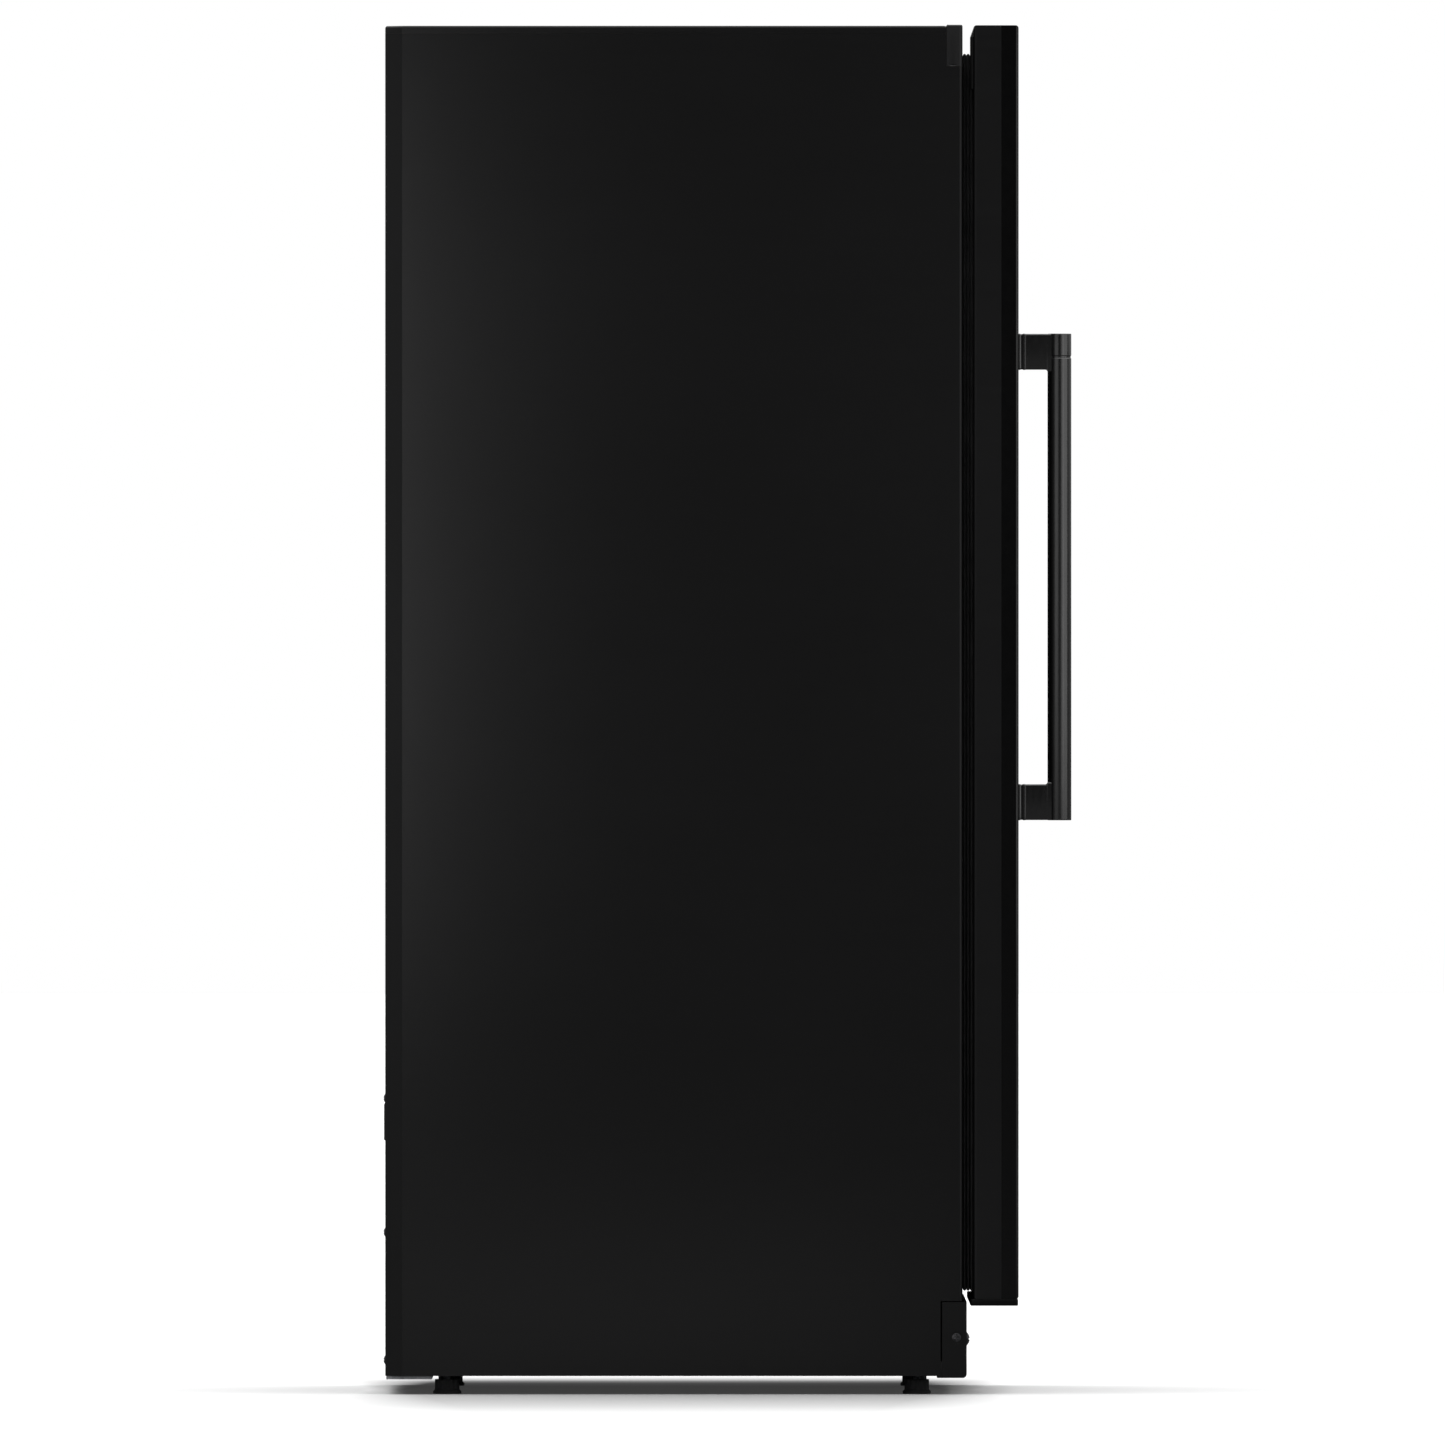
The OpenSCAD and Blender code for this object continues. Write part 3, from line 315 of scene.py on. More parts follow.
def wood(name, along):
    """Beech: fine streaks along one axis, with short darker flecks.

    Streaks and flecks are counted per metre, few along the grain and many across it.
    """
    material, tree, shader = new_finish(name, (0.5, 0.32, 0.17), 0.5, specular=0.35)
    streak = [190.0, 190.0, 190.0]
    streak[along] = 5.0
    fleck = [900.0, 900.0, 900.0]
    fleck[along] = 110.0
    grain = noise(tree, tuple(streak), detail=5.0, warp=0.6)
    colour = tree.nodes.new("ShaderNodeValToRGB")
    ramp = colour.color_ramp
    ramp.elements[0].position, ramp.elements[0].color = 0.28, (0.30, 0.165, 0.075, 1)
    ramp.elements[1].position, ramp.elements[1].color = 0.72, (0.60, 0.40, 0.22, 1)
    ramp.elements.new(0.5).color = (0.47, 0.29, 0.145, 1)
    tree.links.new(grain, colour.inputs["Fac"])
    flecks = noise(tree, tuple(fleck), detail=1.0)
    mix = tree.nodes.new("ShaderNodeMix")
    mix.data_type = "RGBA"
    mix.blend_type = "MULTIPLY"
    mix.inputs["B"].default_value = (0.66, 0.52, 0.42, 1)
    tree.links.new(spread(tree, flecks, 0, 0.8, 0.62, 0.7), mix.inputs["Factor"])
    tree.links.new(colour.outputs["Color"], mix.inputs["A"])
    tree.links.new(mix.outputs["Result"], shader.inputs["Base Color"])
    tree.links.new(spread(tree, grain, 0.42, 0.6), shader.inputs["Roughness"])
    raise_surface(tree, shader, grain, 0.00008)
    return material


def spangled_zinc():
    """Zinc plate: crystals of slightly different tone and gloss."""
    material, tree, shader = new_finish("zinc_steel", (0.42, 0.43, 0.45), 0.38, metallic=0.9)
    crystal = cells(tree, (160, 160, 160))
    tone = tree.nodes.new("ShaderNodeSeparateColor")
    tree.links.new(crystal.outputs["Color"], tone.inputs["Color"])
    tree.links.new(blend_colours(tree, tone.outputs["Red"], (0.34, 0.35, 0.37), (0.52, 0.53, 0.55), 0, 1),
                   shader.inputs["Base Color"])
    tree.links.new(spread(tree, tone.outputs["Green"], 0.3, 0.48, 0, 1), shader.inputs["Roughness"])
    raise_surface(tree, shader, noise(tree, (600, 600, 600)), 0.00002)
    return material


def porous_foam():
    """Cut insulation foam: cream, with small cells."""
    material, tree, shader = new_finish("foam", (0.66, 0.58, 0.38), 0.85, specular=0.2)
    pores = cells(tree, (500, 500, 500))
    tree.links.new(blend_colours(tree, noise(tree, (14, 14, 14)), (0.6, 0.5, 0.3), (0.72, 0.65, 0.45)),
                   shader.inputs["Base Color"])
    tree.links.new(spread(tree, pores.outputs["Distance"], 0.8, 0.95, 0, 0.6), shader.inputs["Roughness"])
    raise_surface(tree, shader, pores.outputs["Distance"], 0.0004)
    return material


def tinted_pane(name, tint, through, smear):
    """Float glass: what is behind shows through darkened, and a clear reflection lies over it.

    The reflection's share grows from 0.06 square on to 1 at a grazing angle.
    """
    material = bpy.data.materials.new(name)
    material.use_nodes = True
    tree = material.node_tree
    tree.nodes.clear()
    out = tree.nodes.new("ShaderNodeOutputMaterial")
    clear = tree.nodes.new("ShaderNodeBsdfTransparent")
    tree.links.new(blend_colours(tree, noise(tree, (5, 5, 5)), through, tuple(t * 0.94 for t in through)),
                   clear.inputs["Color"])
    shader = tree.nodes.new("ShaderNodeBsdfPrincipled")
    shader.inputs["Base Color"].default_value = (*tint, 1)
    shader.inputs["Specular IOR Level"].default_value = 0.9
    tree.links.new(spread(tree, noise(tree, (26, 26, 9), detail=5.0), 0.02, smear),
                   shader.inputs["Roughness"])
    gloss = tree.nodes.new("ShaderNodeFresnel")
    gloss.inputs["IOR"].default_value = 1.52
    mix = tree.nodes.new("ShaderNodeMixShader")
    tree.links.new(spread(tree, gloss.outputs["Fac"], 0.06, 1.0, 0.04, 1.0), mix.inputs["Fac"])
    tree.links.new(clear.outputs[0], mix.inputs[1])
    tree.links.new(shader.outputs[0], mix.inputs[2])
    tree.links.new(mix.outputs[0], out.inputs["Surface"])
    return material


def light_diffuser():
    """The glowing cover of a light strip, a little uneven over its row of diodes."""
    material = mottled("light_diffuser", (0.86, 0.9, 0.95), 0.45, tone=0.06, patch=45,
                       grain=(400, 400, 400))
    shader = material.node_tree.nodes["Principled BSDF"]
    shader.inputs["Emission Color"].default_value = (0.93, 0.97, 1.0, 1)
    shader.inputs["Emission Strength"].default_value = 24.0
    return material


def make_finishes():
    """Every finish of the cooler, by the slot that uses it."""
    brushed = (9, 9, 1500)
    return {
        "cabinet_paint": mottled("cabinet_paint", (0.003, 0.003, 0.0032), 0.42, specular=0.3, tone=0.2,
                                 patch=3.0,
                                 grain=brushed, depth=0.000012, matt=0.05),
        "door_black": coated(mottled("door_black", (0.0015, 0.0015, 0.0016), 0.2, specular=0.25, patch=6.0,
                                     grain=(140, 140, 140), depth=0.000006, matt=0.03), 0.3, 0.06),
        "frame_grey": mottled("frame_grey", (0.005, 0.005, 0.0053), 0.4, specular=0.3, patch=4.0,
                              grain=brushed,
                              depth=0.00001),
        "handle_black": mottled("handle_black", (0.004, 0.004, 0.0042), 0.22, specular=1.0, patch=14.0,
                                grain=(700, 700, 60), depth=0.000006, matt=0.03),
        "cap_plastic": mottled("cap_plastic", (0.010, 0.010, 0.0104), 0.48, specular=0.4,
                               grain=(1600, 1600, 1600),
                               depth=0.00004),
        "end_cap_black": mottled("end_cap_black", (0.0015, 0.0015, 0.0016), 0.5, specular=0.15,
                                 grain=(1600, 1600, 1600), depth=0.00004),
        "liner_plastic": mottled("liner_plastic", (0.045, 0.047, 0.051), 0.42, specular=0.4, patch=5.0,
                                 grain=(700, 700, 700), depth=0.00003),
        "foam": porous_foam(),
        "zinc_steel": spangled_zinc(),
        "black_steel": coated(mottled("black_steel", (0.012, 0.012, 0.0125), 0.35, grain=(260, 260, 260),
                                      depth=0.00004), 0.4, 0.15),
        "screw_steel": mottled("screw_steel", (0.06, 0.06, 0.063), 0.32, metallic=0.7, tone=0.3, patch=400,
                               grain=(2500, 2500, 2500), depth=0.00001),
        "rubber_black": mottled("rubber_black", (0.045, 0.045, 0.046), 0.72, specular=0.25, patch=30,
                                grain=(1100, 1100, 1100), depth=0.00005, matt=0.1),
        "copper": mottled("copper", (0.58, 0.27, 0.14), 0.32, metallic=1.0, tone=0.3, patch=45,
                          grain=(900, 900, 900), depth=0.00002, matt=0.1),
        "fin_aluminium": mottled("fin_aluminium", (0.66, 0.67, 0.69), 0.36, metallic=1.0, tone=0.1,
                                 patch=30,
                                 grain=(60, 900, 900), depth=0.00002),
        "spacer_aluminium": mottled("spacer_aluminium", (0.16, 0.16, 0.17), 0.42, metallic=0.8, tone=0.2,
                                    patch=60,
                                    grain=(420, 420, 420), depth=0.00015),
        "glass_tint": tinted_pane("glass_tint", (0.006, 0.007, 0.008), (0.88, 0.9, 0.91), 0.05),
        "display_glass": coated(mottled("display_glass", (0.006, 0.008, 0.012), 0.12, patch=25,
                                        grain=(300, 300, 300), depth=0.000004, matt=0.03), 0.6, 0.03),
        "panel_gloss": coated(mottled("panel_gloss", (0.007, 0.007, 0.008), 0.2, patch=12,
                                      grain=(220, 220, 220),
                                      depth=0.000008, matt=0.04), 0.6, 0.05),
        "button_plastic": mottled("button_plastic", (0.09, 0.09, 0.094), 0.5, patch=160,
                                  grain=(2200, 2200, 2200),
                                  depth=0.00003),
        "light_diffuser": light_diffuser(),
        "beech": wood("beech", 0),
        "bush_nylon": mottled("bush_nylon", (0.72, 0.7, 0.64), 0.42, patch=90, grain=(1200, 1200, 1200)),
    }


# ---------- shapes worked out as arrays, in metres ----------

UP = np.eye(3)                                            # a shape's u, v, w lie along X, Y, Z
ALONG_X = np.array([[0, 1, 0], [0, 0, 1], [1, 0, 0]], float)
ALONG_Y = np.array([[0, 0, 1], [1, 0, 0], [0, 1, 0]], float)
TOWARD_FRONT = np.array([[1, 0, 0], [0, 0, 1], [0, -1, 0]], float)
TOWARD_BACK = np.array([[-1, 0, 0], [0, 0, 1], [0, 1, 0]], float)
TOWARD_LEFT = np.array([[0, -1, 0], [0, 0, 1], [-1, 0, 0]], float)
TOWARD_RIGHT = ALONG_X
ACROSS_Y = np.array([[1, 0, 0], [0, 0, 1], [0, 1, 0]], float)
MM = 0.001
BAR_EDGE = 0.0006           # how much the rim of a plain bar is rounded
RIM_SHARE = 0.8             # how much of a rim's inset is taken off the radius of its corners


def quads(rows, columns):
    """Faces between neighbouring rows of closed outlines."""
    row = np.arange(rows - 1)[:, None] * columns
    column = np.arange(columns)[None, :]
    after = (column + 1) % columns
    corners = np.stack([row + column, row + after, row + columns + after, row + columns + column], -1)
    return corners.reshape(-1, 4).tolist()


def closed(points):
    """Rows of closed outlines joined to a tube with flat ends: (points, faces)."""
    rows, columns = points.shape[:2]
    last = (rows - 1) * columns
    ends = [list(range(columns)), list(range(last, last + columns))]
    return points.reshape(-1, 3), quads(rows, columns) + ends


def quarter_ways(steps):
    """Directions round a rounded rectangle, and the corner (+-1, +-1) that each belongs to."""
    corner = np.arange(4)[:, None] * math.pi / 2
    turn = (corner + np.linspace(0, math.pi / 2, steps)).ravel()
    middle = np.repeat(corner.ravel() + math.pi / 4, steps)
    way = np.stack([np.cos(turn), np.sin(turn)], -1)
    corner = np.sign(np.stack([np.cos(middle), np.sin(middle)], -1))
    return way, corner


def loft(places, halves, centres, radii, axes, steps=4):
    """Rounded rectangles stacked along an axis.

    Row i lies at places[i]. Its points are centres[i] + corner (halves[i] - r) + r (cos t, sin t), where r
    is radii[i].
    """
    way, corner = quarter_ways(steps)
    places = np.asarray(places, float)
    halves = np.broadcast_to(halves, (len(places), 2))[:, None, :]
    centres = np.broadcast_to(centres, (len(places), 2))[:, None, :]
    radii = np.broadcast_to(radii, len(places))[:, None, None]
    flat = centres + corner[None] * (halves - radii) + radii * way[None]
    along = np.broadcast_to(places[:, None, None], (*flat.shape[:2], 1))
    return closed(np.concatenate([flat, along], -1) @ axes)


def rims(low, high, edge, steps=4):
    """Places and insets of a run from low to high whose two rims are rounded.

    A rim rises by edge (1 - cos t) while it stands in by edge (1 - sin t).
    """
    turn = np.linspace(0, math.pi / 2, steps)
    rise = edge * (1 - np.cos(turn))
    inset = edge * (1 - np.sin(turn))
    return np.concatenate([low + rise, high - rise[::-1]]), np.concatenate([inset, inset[::-1]])


def bar(low, high, radius, axes, edge=BAR_EDGE, steps=4):
    """A rounded bar between two opposite corners given in the shape's own u, v, w."""
    low, high = np.array(low, float), np.array(high, float)
    places, inset = rims(low[2], high[2], edge)
    halves = (high[:2] - low[:2]) / 2 - inset[:, None]
    return loft(places, halves, (low[:2] + high[:2]) / 2, radius - inset * RIM_SHARE, axes, steps)


def turned(radii, heights, centre, axes, segments=48, swell=None):
    """A profile (radius, height) turned round an axis; swell(angle, height) scales the radius."""
    angle = np.linspace(0, 2 * math.pi, segments, endpoint=False)[None, :]
    radii = np.asarray(radii, float)[:, None]
    heights = np.asarray(heights, float)[:, None]
    scale = 1.0 if swell is None else swell(angle, heights)
    points = np.stack([radii * scale * np.cos(angle), radii * scale * np.sin(angle),
                       np.broadcast_to(heights, (len(heights), segments))], -1)
    points, faces = closed(points @ axes)
    return points + np.array(centre, float), faces


def round_outline(corners, radii, steps=6):
    """A closed outline, counter-clockwise, with the way out at each point.

    A corner of radius r is an arc that touches both its sides. The way out of a sharp corner is
    (n1 + n2) / (1 + n1 . n2), so that moving the points by d along it moves every side by d.
    """
    corners = np.array(corners, float)
    run = np.roll(corners, -1, 0) - corners
    run /= np.linalg.norm(run, axis=1, keepdims=True)
    out = np.stack([run[:, 1], -run[:, 0]], -1)
    points, ways = [], []
    for corner, before, after, radius in zip(corners, np.roll(out, 1, 0), out, radii):
        mitre = (before + after) / (1 + before @ after)
        if radius == 0:
            points.append(corner[None])
            ways.append(mitre[None])
            continue
        start = math.atan2(before[1], before[0])
        sweep = (math.atan2(after[1], after[0]) - start) % (2 * math.pi)
        turn = start + np.linspace(0, sweep, steps)
        way = np.stack([np.cos(turn), np.sin(turn)], -1)
        points.append(corner - radius * mitre + radius * way)
        ways.append(way)
    return np.concatenate(points), np.concatenate(ways)


def pressed(outline, insets, heights):
    """An outline carried up through insets and heights: points - inset x way out.

    An inset is one number a row, or one for each point of each row.
    """
    points, ways_out = outline
    insets = np.asarray(insets, float)
    insets = insets.reshape(len(insets), -1, 1)
    flat = points[None] - insets * ways_out[None]
    high = np.broadcast_to(np.asarray(heights, float)[:, None, None], (*flat.shape[:2], 1))
    return closed(np.concatenate([flat, high], -1))


def frame_ring(low, high, inward, depths):
    """A closed profile (inward, depth) carried round a mitred rectangle from low to high in (x, z)."""
    corner = np.array([[low[0], low[1]], [high[0], low[1]], [high[0], high[1]], [low[0], high[1]]], float)
    way = np.array([[1, 1], [-1, 1], [-1, -1], [1, -1]], float)
    flat = corner[:, None, :] + way[:, None, :] * np.asarray(inward, float)[None, :, None]
    depth = np.broadcast_to(np.asarray(depths, float)[None, :], flat.shape[:2])
    points = np.stack([flat[..., 0], depth, flat[..., 1]], -1)
    points = np.concatenate([points, points[:1]])
    rows, columns = points.shape[:2]
    faces = np.array(quads(rows, columns)) % (4 * columns)
    return points[:4].reshape(-1, 3), faces.tolist()


# ---------- pieces ----------


def add_piece(name, parts, finish, body, stands_for, crease=32):
    """One mesh from closed parts, each (points, faces) or (points, faces, index of its finish)."""
    points, faces, kinds, start = [], [], [], 0
    for part in parts:
        points.append(part[0])
        faces += [[start + i for i in face] for face in part[1]]
        kinds += [part[2] if len(part) > 2 else 0] * len(part[1])
        start += len(part[0])
    mesh = bpy.data.meshes.new(name)
    mesh.from_pydata(np.concatenate(points).tolist(), [], faces)
    for material in finish if isinstance(finish, list) else [finish]:
        mesh.materials.append(material)
    mesh.polygons.foreach_set("material_index", kinds)
    outward = bmesh.new()
    outward.from_mesh(mesh)
    bmesh.ops.recalc_face_normals(outward, faces=outward.faces)
    outward.to_mesh(mesh)
    outward.free()
    mesh.shade_smooth()
    mesh.set_sharp_from_angle(angle=math.radians(crease))
    piece = bpy.data.objects.new(name, mesh)
    bpy.context.scene.collection.objects.link(piece)
    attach(piece, body)
    if stands_for:
        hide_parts(*stands_for)


def box_of(node):
    """A node's lowest and highest corner as arrays."""
    low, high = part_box(node)
    return np.array(low), np.array(high)


SEAM = 0.05 * MM            # what is left open between a pressed or moulded cover and the sheet next to it


def make_top_panel(finish):
    """A pressed lid: flat top, rolled rim, folded skirt, open corners for the two caps."""
    low, high = box_of("top_panel")
    _, cap_high = box_of("corner_caps")
    _, side_high = box_of("side_panel_left")
    slant = 16.8 * MM
    corner_w = 20.3 * MM
    edge, sheet = 2.4 * MM, 1.0 * MM
    skirt_low = side_high[2] + SEAM
    side_x = high[0]
    notch_x = side_x - corner_w
    notch_y = cap_high[1] + 0.3 * MM
    corners = [(-notch_x, low[1]), (notch_x, low[1]), (notch_x, notch_y), (side_x, notch_y),
               (side_x, high[1] - slant), (side_x - slant, high[1]), (slant - side_x, high[1]),
               (-side_x, high[1] - slant), (-side_x, notch_y), (-notch_x, notch_y)]
    radii = [0, 0, 0, 0, 2 * MM, 2 * MM, 2 * MM, 2 * MM, 0, 0]
    outline = round_outline(corners, radii)
    turn = np.linspace(math.pi / 2, 0, 7)
    insets = np.concatenate([edge * (1 - np.cos(turn)), [0, sheet, sheet]])
    heights = np.concatenate([high[2] - edge * (1 - np.sin(turn)), [skirt_low, skirt_low, high[2] - sheet]])
    add_piece("top_panel_pressed", [pressed(outline, insets, heights)], finish, "cabinet", ["top_panel"],
              crease=50)


def make_corner_caps(finish):
    """Moulded caps on the top front corners, with a rolled front edge and a pry notch low on the side.

    The notch sinks the side by depth (1 - |y| / reach) exp(-(z / tall)^2) round its middle.
    """
    low, high = box_of("corner_caps")
    wide = 20 * MM
    front_r, soft_r = 3.5 * MM, 0.6 * MM
    grow = 0.3 * MM - SEAM
    bottom, back = low[2] - grow, high[1] + grow
    notch_y, notch_z = low[1] + 9.5 * MM, bottom + 1.6 * MM
    depth, reach, tall = 1.1 * MM, 4.0 * MM, 0.7 * MM
    run = notch_y + np.linspace(-reach, reach, 9)
    parts = []
    for side in (-1, 1):
        inner, outer = side * (high[0] - wide), side * high[0]
        corners = [(inner, low[1]), (outer, low[1]), *[(outer, y) for y in run], (outer, back),
                   (inner, back)]
        radii = [soft_r, front_r, *[0] * len(run), soft_r, soft_r]
        if side < 0:
            corners, radii = corners[::-1], radii[::-1]
        outline = round_outline(corners, radii)
        foot_z, foot_in = rims(bottom, high[2], 0.4 * MM, 5)
        top_z, top_in = rims(bottom, high[2], 1.6 * MM, 5)
        places, inset = np.append(foot_z[:5], top_z[5:]), np.append(foot_in[:5], top_in[5:])
        rows = notch_z + np.linspace(-1, 1, 7) * 1.8 * tall
        heights = np.concatenate([places, rows])
        order = np.argsort(heights)
        heights = heights[order]
        insets = np.interp(heights, places, inset)
        y = outline[0][:, 1]
        on_side = np.abs(outline[0][:, 0] - outer) < 0.01 * MM
        across = np.clip(1 - np.abs(y - notch_y) / reach, 0, 1) * on_side
        dent = depth * across[None] * np.exp(-((heights[:, None] - notch_z) / tall) ** 2)
        parts.append(pressed(outline, insets[:, None] + dent, heights))
    add_piece("corner_caps_moulded", parts, finish, "cabinet", ["corner_caps"])


def make_kick_lips(finish):
    """The small lips that close the kick plate's ends behind the seam to the side panels."""
    low, high = box_of("kick_plate")
    base_low, _ = box_of("base_plate")
    rise, inward, cover = 16 * MM, 7 * MM, 1.1 * MM
    parts = []
    for side in (-1, 1):
        inner, outer = side * (high[0] - inward), side * (high[0] - cover)
        parts.append(bar((min(inner, outer), high[1] - 1.5 * MM, low[2]),
                         (max(inner, outer), base_low[1] - 0.2 * MM, low[2] + rise), 0.8 * MM, UP))
    add_piece("kick_plate_lips", parts, finish, "cabinet", [])


def make_gasket(finish):
    """The door seal: three soft lobes deep in section, mitred at the corners.

    The outer wall lies at inset fold (1 - |sin(3 pi s)| ^ 0.6) for s from the door to the cabinet, and the
    inner wall mirrors it.
    """
    low, high = box_of("door_gasket")
    wide = 14 * MM
    fold = 1.7 * MM
    s = np.linspace(0, 1, 31)
    depth = low[1] + s * (high[1] - low[1])
    inset = fold * (1 - np.abs(np.sin(3 * math.pi * s)) ** 0.6)
    inward = np.concatenate([inset, (wide - inset)[::-1]])
    ring = frame_ring((low[0], low[2]), (high[0], high[2]), inward, np.concatenate([depth, depth[::-1]]))
    add_piece("door_gasket_moulded", [ring], finish, "door", ["door_gasket"], crease=60)


def make_end_caps(finish):
    """The moulded cap under the door and the small tab behind its top corner, both with rounded ends.

    The cap's rear lip stops short of the hinge's pivot.
    """
    low, high = box_of("door_end_caps")
    frame_low, frame_high = box_of("door_frame")
    hinge_low, hinge_high = box_of("hinge_bottom")
    door_back = frame_high[1]
    pivot_x = (hinge_low[0] + hinge_high[0]) / 2 - 3.5 * MM
    lip_end = pivot_x - 2 * MM
    corners = [(low[0], low[1]), (high[0], low[1]), (high[0], door_back), (lip_end, door_back),
               (lip_end, high[1]), (low[0], high[1])]
    radii = [3 * MM, 3 * MM, 3 * MM, 0, 1.5 * MM, 3 * MM]
    outline = round_outline(corners, radii)
    places, inset = rims(low[2], frame_low[2], 1.2 * MM, 5)
    plate = pressed(outline, inset, places)
    tab_low = high[2] - 53 * MM
    tab = bar((low[0] + 0.2 * MM, tab_low, door_back), (low[0] + 22 * MM, high[2], high[1]), 1.4 * MM,
              ACROSS_Y, edge=1.2 * MM)
    add_piece("door_end_caps_moulded", [plate, tab], finish, "door", ["door_end_caps"])


def make_handle(finish):
    """A tube with soft ends and one fine ring, on two posts with a beaded foot and a fillet at the tube.

    A post's section stands in by foot(s) from its full size at a distance s from the door, and its inner
    side flares by r (1 - sqrt(1 - t^2)) over the last r before the tube.
    """
    low, high = box_of("handle_bar")
    posts_low, posts_high = box_of("handle_posts")
    centre = (low + high) / 2
    radius = (high[0] - low[0]) / 2
    soft = 0.9 * MM
    turn = np.linspace(0, math.pi / 2, 6)
    ring_z = high[2] - 23 * MM
    ring_w, ring_d = 1.6 * MM, 0.6 * MM
    ring = np.linspace(-1, 1, 9)
    radii = np.concatenate([radius - soft + soft * np.sin(turn), radius - ring_d * (1 - ring ** 2) ** 0.5,
                            radius - soft + soft * np.cos(turn)])
    heights = np.concatenate([low[2] + soft - soft * np.cos(turn), ring_z + ring * ring_w,
                              high[2] - soft + soft * np.sin(turn)])
    tube = turned(radii, heights, (centre[0], centre[1], 0), UP, segments=96)
    add_piece("handle_bar_turned", [tube], finish, "door", ["handle_bar"])

    door_y = posts_high[1]
    tall = 35.8 * MM
    wide = posts_high[0] - posts_low[0]
    reach = door_y - centre[1]
    fillet = 2.2 * MM
    away = np.array([0, 0.3, 0.9, 1.5, 1.9, 2.4, 3.2, 3.9, 4.4, 4.8, 5.5, 6.4, 6.9, 7.6]) * MM
    foot = np.array([0.4, 0.1, 0, 0.06, 0.3, 0.42, 0.45, 0.42, 0.3, 0.06, 0, 0.05, 0.2, 0.25]) * MM
    near_tube = reach - radius - fillet * (1 - np.sin(np.linspace(0, math.pi / 2, 7)))
    run = np.concatenate([away, near_tube, [reach]])
    inset = np.interp(run, away, foot)
    t = np.clip((run - (reach - radius - fillet)) / fillet, 0, 1)
    flare = fillet * (1 - np.sqrt(1 - t ** 2))
    parts = []
    for middle_z in (posts_low[2] + tall / 2, posts_high[2] - tall / 2):
        inner = 1 if middle_z < centre[2] else -1
        halves = np.stack([wide / 2 - inset, tall / 2 - inset + flare / 2], -1)
        centres = np.stack([np.full(len(run), centre[0]), middle_z + inner * flare / 2], -1)
        parts.append(loft(door_y - run, halves, centres, 1.6 * MM, ACROSS_Y, steps=6))
    add_piece("handle_posts_moulded", parts, finish, "door", ["handle_posts"])


def screw_head(centre, axes, radius, height, shank):
    """A domed head with a cross recess on a short shank.

    The dome's height falls as 1 - (rho / radius)^2. The recess is the same surface sunk by a smooth mask
    that is 1 where either |x| or |y| is under a blade's half width, inside the driver's radius.
    """
    around = 64
    rho = radius * np.sin(np.linspace(0.03, math.pi / 2, 18))
    angle = np.linspace(0, 2 * math.pi, around, endpoint=False)
    x, y = rho[:, None] * np.cos(angle), rho[:, None] * np.sin(angle)
    blade, reach = radius * 0.13, radius * 0.55
    arm = np.maximum(1 - np.abs(x) / blade, 1 - np.abs(y) / blade)
    mask = np.clip(arm * 2.5, 0, 1) * np.clip((reach - rho[:, None]) / (0.12 * radius), 0, 1)
    top = height * (1 - (rho[:, None] / radius) ** 2) - 0.55 * height * mask
    rows = [np.stack([x, y, top], -1)]
    for ring_r, ring_z in ((radius, -0.4 * MM), (2.5 * MM, -0.4 * MM), (2.4 * MM, -shank)):
        rows.append(np.stack([ring_r * np.cos(angle), ring_r * np.sin(angle), np.full(around, ring_z)],
                             -1)[None])
    points, faces = closed(np.concatenate(rows) @ axes)
    return points + np.array(centre, float), faces


def make_screws(finish):
    """Every visible screw: kick plate front and sides, rear cover, hinge brackets."""
    _, high = box_of("screws")
    kick_low, _ = box_of("kick_plate")
    _, cover_high = box_of("rear_cover")
    front = kick_low[1]
    back = cover_high[1]
    cabinet_front = box_of("side_panel_left")[0][1]
    half_w = high[0]
    kick_z = 54.7 * MM
    cover_x = 269.3 * MM
    cover_heights = np.array([33.7, 159.85, 292.0]) * MM
    bracket_rises = np.array([14.5, 32.5])
    parts = []
    for side, axes in ((-1, TOWARD_LEFT), (1, TOWARD_RIGHT)):
        on_front = (side * (half_w - 20 * MM), front, kick_z)
        on_side = (side * (half_w - 0.9 * MM), cabinet_front + 6 * MM, kick_z + 1.5 * MM)
        parts.append(screw_head(on_front, TOWARD_FRONT, 6.9 * MM, 3.2 * MM, 6 * MM))
        parts.append(screw_head(on_side, axes, 5 * MM, 0.9 * MM, 5 * MM))
        for z in cover_heights:
            parts.append(screw_head((side * cover_x, back, z), TOWARD_BACK, 4.6 * MM, 1.9 * MM, 6 * MM))
    for bracket in ("hinge_bottom", "hinge_top"):
        bracket_low, bracket_high = box_of(bracket)
        middle = (bracket_low[0] + bracket_high[0]) / 2
        up = 1 if bracket == "hinge_bottom" else -1
        arm_z = (bracket_low[2] if up > 0 else bracket_high[2]) + up * 3.0 * MM
        for rise in bracket_rises:
            parts.append(screw_head((middle, cabinet_front - 3.0 * MM, arm_z + up * rise * MM),
                                    TOWARD_FRONT,
                                    4.4 * MM, 0.25 * MM, 2.8 * MM))
    add_piece("screws_domed", parts, finish, "cabinet", ["screws"], crease=40)


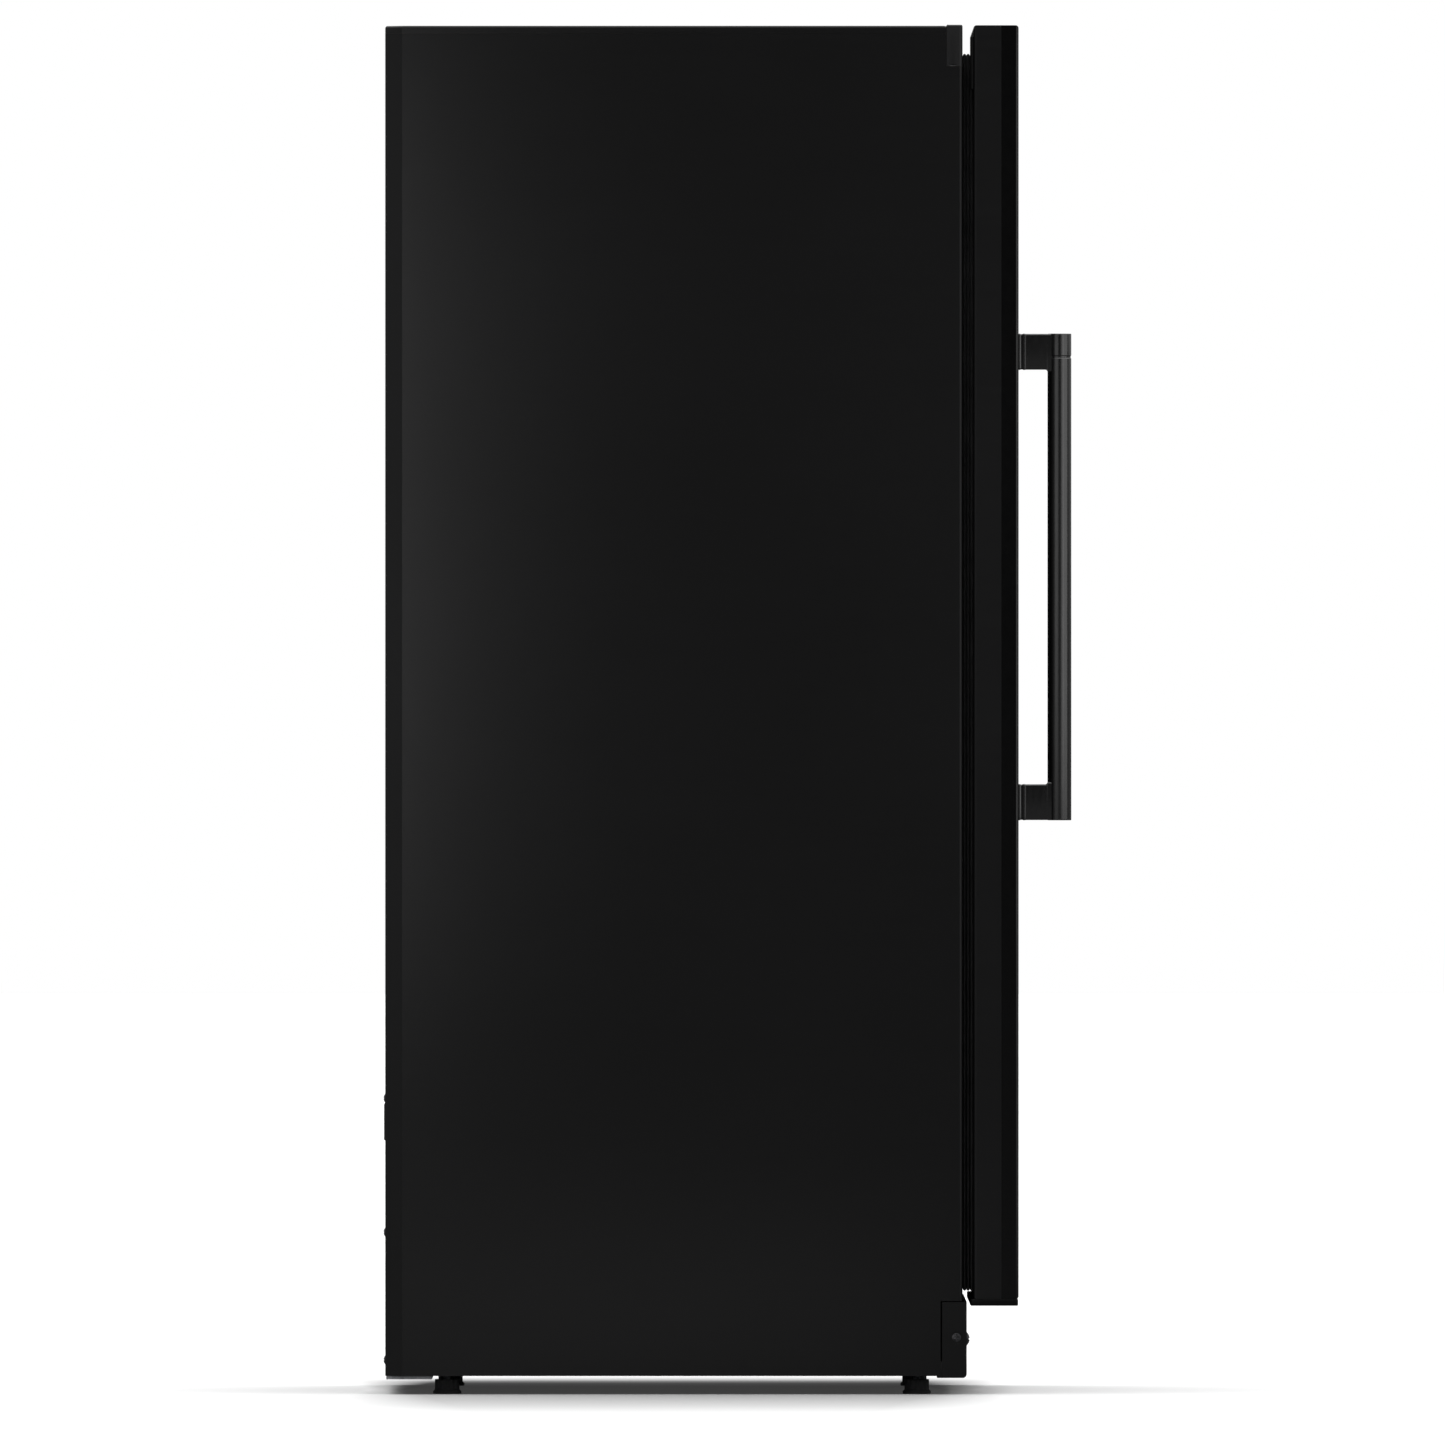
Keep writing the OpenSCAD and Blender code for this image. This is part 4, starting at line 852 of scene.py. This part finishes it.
def make_feet(finish):
    """Levelling feet: a fluted pad with a soft rim, and a threaded stud.

    The pad's radius is scaled by 1 + 0.035 (cos(14 a) - 1) over its fluted height, and the stud's by
    1 + 0.065 cos(a - 2 pi h / 1.25 mm).
    """
    for name in ("foot_front_left", "foot_front_right", "foot_rear_left", "foot_rear_right"):
        low, high = box_of(name)
        centre = ((low[0] + high[0]) / 2, (low[1] + high[1]) / 2, 0)
        radius = (high[0] - low[0]) / 2
        soft = 0.9 * MM
        turn = np.linspace(0, math.pi / 2, 5)
        rim_r = radius - soft + soft * np.sin(turn)
        rim_z = soft - soft * np.cos(turn)
        radii = np.concatenate([rim_r, [radius, radius - 0.8 * MM, radius - 1.6 * MM, radius - 1.6 * MM],
                                (radius - 2.6 * MM + 1.0 * MM * np.cos(turn))])
        heights = np.concatenate([rim_z, np.array([2.6, 3.4, 4.6, 13.6]) * MM,
                                  (13.6 + 1.0 * np.sin(turn)) * MM])
        pad = turned(radii, heights, centre, UP, segments=168,
                     swell=lambda a, h: 1 + 0.035 * (np.cos(14 * a) - 1) * (h > 4.5 * MM) * (h < 14.4 * MM))
        places = np.arange(14.4 * MM, high[2], 0.3 * MM)
        stud = turned(np.full(len(places), 3.75 * MM), places, centre, UP, segments=28,
                      swell=lambda a, h: 1 + 0.065 * np.cos(a - 2 * math.pi * h / (1.25 * MM)))
        add_piece(name + "_fluted", [pad, (*stud, 1)], finish, name, [name])


CRADLE_R = 42 * MM          # the hollow that a bottle lies in
BOTTLE_PITCH = 82 * MM      # from one bottle's middle to the next


def cradle_top(x, full, floor, bottles):
    """Height of a slat's top: full, or the lowest bottle arc floor + R - sqrt(R^2 - (x - x_i)^2)."""
    middles = (np.arange(bottles) - (bottles - 1) / 2) * BOTTLE_PITCH
    away = np.abs(x[:, None] - middles[None, :]).min(1)
    arc = floor + CRADLE_R - np.sqrt(np.maximum(CRADLE_R ** 2 - away ** 2, 0))
    return np.where(away < CRADLE_R, np.minimum(full, arc), full)


def scalloped(x_half, y_low, y_high, z_low, full, floor, bottles, radius):
    """A slat across the shelf whose top dips under each bottle."""
    across = 169
    places, inset = rims(-x_half, x_half, 1.0 * MM, 3)
    inner = np.linspace(-x_half + 1.2 * MM, x_half - 1.2 * MM, across)
    x = np.concatenate([places[:3], inner, places[3:]])
    inset = np.concatenate([inset[:3], np.zeros(across), inset[3:]])
    top = cradle_top(x, full, floor, bottles)
    halves = np.stack([np.full(len(x), (y_high - y_low) / 2) - inset, (top - z_low) / 2 - inset], -1)
    centres = np.stack([np.full(len(x), (y_low + y_high) / 2), (top + z_low) / 2], -1)
    return loft(x, halves, centres, radius - inset * RIM_SHARE, ALONG_X)


def make_shelf(name, along_x, along_y):
    """A beech shelf: two side rails, a deep scalloped front lip and cradled slats."""
    low, high = box_of(name)
    base = low[2] + 9 * MM
    deep = high[1] - low[1]
    x_half = high[0]
    slats = 6 if deep > 0.3 else 4
    rail_w, rail_h = 14 * MM, 16 * MM
    lip_t, slat_w, slat_t = 22 * MM, 44 * MM, 10 * MM
    floor = base + 10 * MM
    first = low[1] + lip_t + slat_w / 2 + 10 * MM
    last = high[1] - slat_w / 2
    bottles = int(2 * x_half / BOTTLE_PITCH)
    parts = []
    for side in (-1, 1):
        inner, outer = side * (x_half - rail_w), side * x_half
        rail = bar((base, min(inner, outer), low[1] + lip_t * 0.5),
                   (base + rail_h, max(inner, outer), high[1]),
                   1.8 * MM, ALONG_Y)
        parts.append((*rail, 1))
    parts.append(scalloped(x_half, low[1], low[1] + lip_t, low[2], high[2], floor, bottles, 2.6 * MM))
    for middle in np.linspace(first, last, slats):
        parts.append(scalloped(x_half - 1 * MM, middle - slat_w / 2, middle + slat_w / 2,
                               base + rail_h - slat_t,
                               base + rail_h + 0.02 * MM, floor, bottles, 1.8 * MM))
    add_piece(name + "_slatted", parts, [along_x, along_y], name, [name], crease=38)


def make_buttons(finish):
    """Round keys with a dished face and a soft rim; the dish is a shallow arc."""
    for name in ("button_power", "button_light", "button_up", "button_down"):
        low, high = box_of(name)
        radius = (high[0] - low[0]) / 2
        centre = ((low[0] + high[0]) / 2, high[1], (low[2] + high[2]) / 2)
        tall = high[1] - low[1]
        soft = 0.7 * MM
        turn = np.linspace(0, math.pi / 2, 5)
        dish = np.linspace(radius - 1.2 * MM, 0.25 * MM, 8)
        radii = np.concatenate([[radius, radius], radius - soft + soft * np.cos(turn), dish])
        heights = np.concatenate([[0, tall - soft * 1.4], tall - soft + soft * np.sin(turn),
                                  tall - 0.5 * MM * (1 - (dish / radius) ** 2)])
        add_piece(name + "_dished", [turned(radii, heights, centre, TOWARD_FRONT, 40)], finish, name,
                  [name])


def make_light_strips(finish, housing):
    """Light strips: a bowed diffuser in a slim housing under each zone's ceiling."""
    low, high = box_of("light_strips")
    tall = 6 * MM
    parts = []
    for top in (low[2] + tall, high[2]):
        parts.append((*bar((low[1], top - 2.5 * MM, low[0]), (high[1], top, high[0]), 0.8 * MM, ALONG_X),
                      1))
        parts.append(bar((low[1] + 1.2 * MM, top - tall, low[0] + 2 * MM),
                         (high[1] - 1.2 * MM, top - 2.2 * MM, high[0] - 2 * MM), 1.85 * MM, ALONG_X,
                         steps=7))
    add_piece("light_strips_bowed", parts, [finish, housing], "cabinet", ["light_strips"])


# ---------- make it all ----------

add_camera()
light_studio()
finishes = make_finishes()
for node in nodes.values():
    for i, material in enumerate(node.data.materials):
        node.data.materials[i] = finishes[material.name.split(".")[0]]

make_top_panel(finishes["cabinet_paint"])
make_corner_caps(finishes["cap_plastic"])
make_gasket(finishes["rubber_black"])
make_kick_lips(finishes["cap_plastic"])
make_end_caps(finishes["end_cap_black"])
make_handle(finishes["handle_black"])
make_screws(finishes["screw_steel"])
make_feet([finishes["rubber_black"], finishes["zinc_steel"]])
beech_along_y = wood("beech_rail", 1)
for number in range(1, 6):
    make_shelf("upper_shelf_" + str(number), finishes["beech"], beech_along_y)
for number in range(1, 5):
    make_shelf("lower_shelf_" + str(number), finishes["beech"], beech_along_y)
make_buttons(finishes["button_plastic"])
make_light_strips(finishes["light_diffuser"], finishes["cap_plastic"])
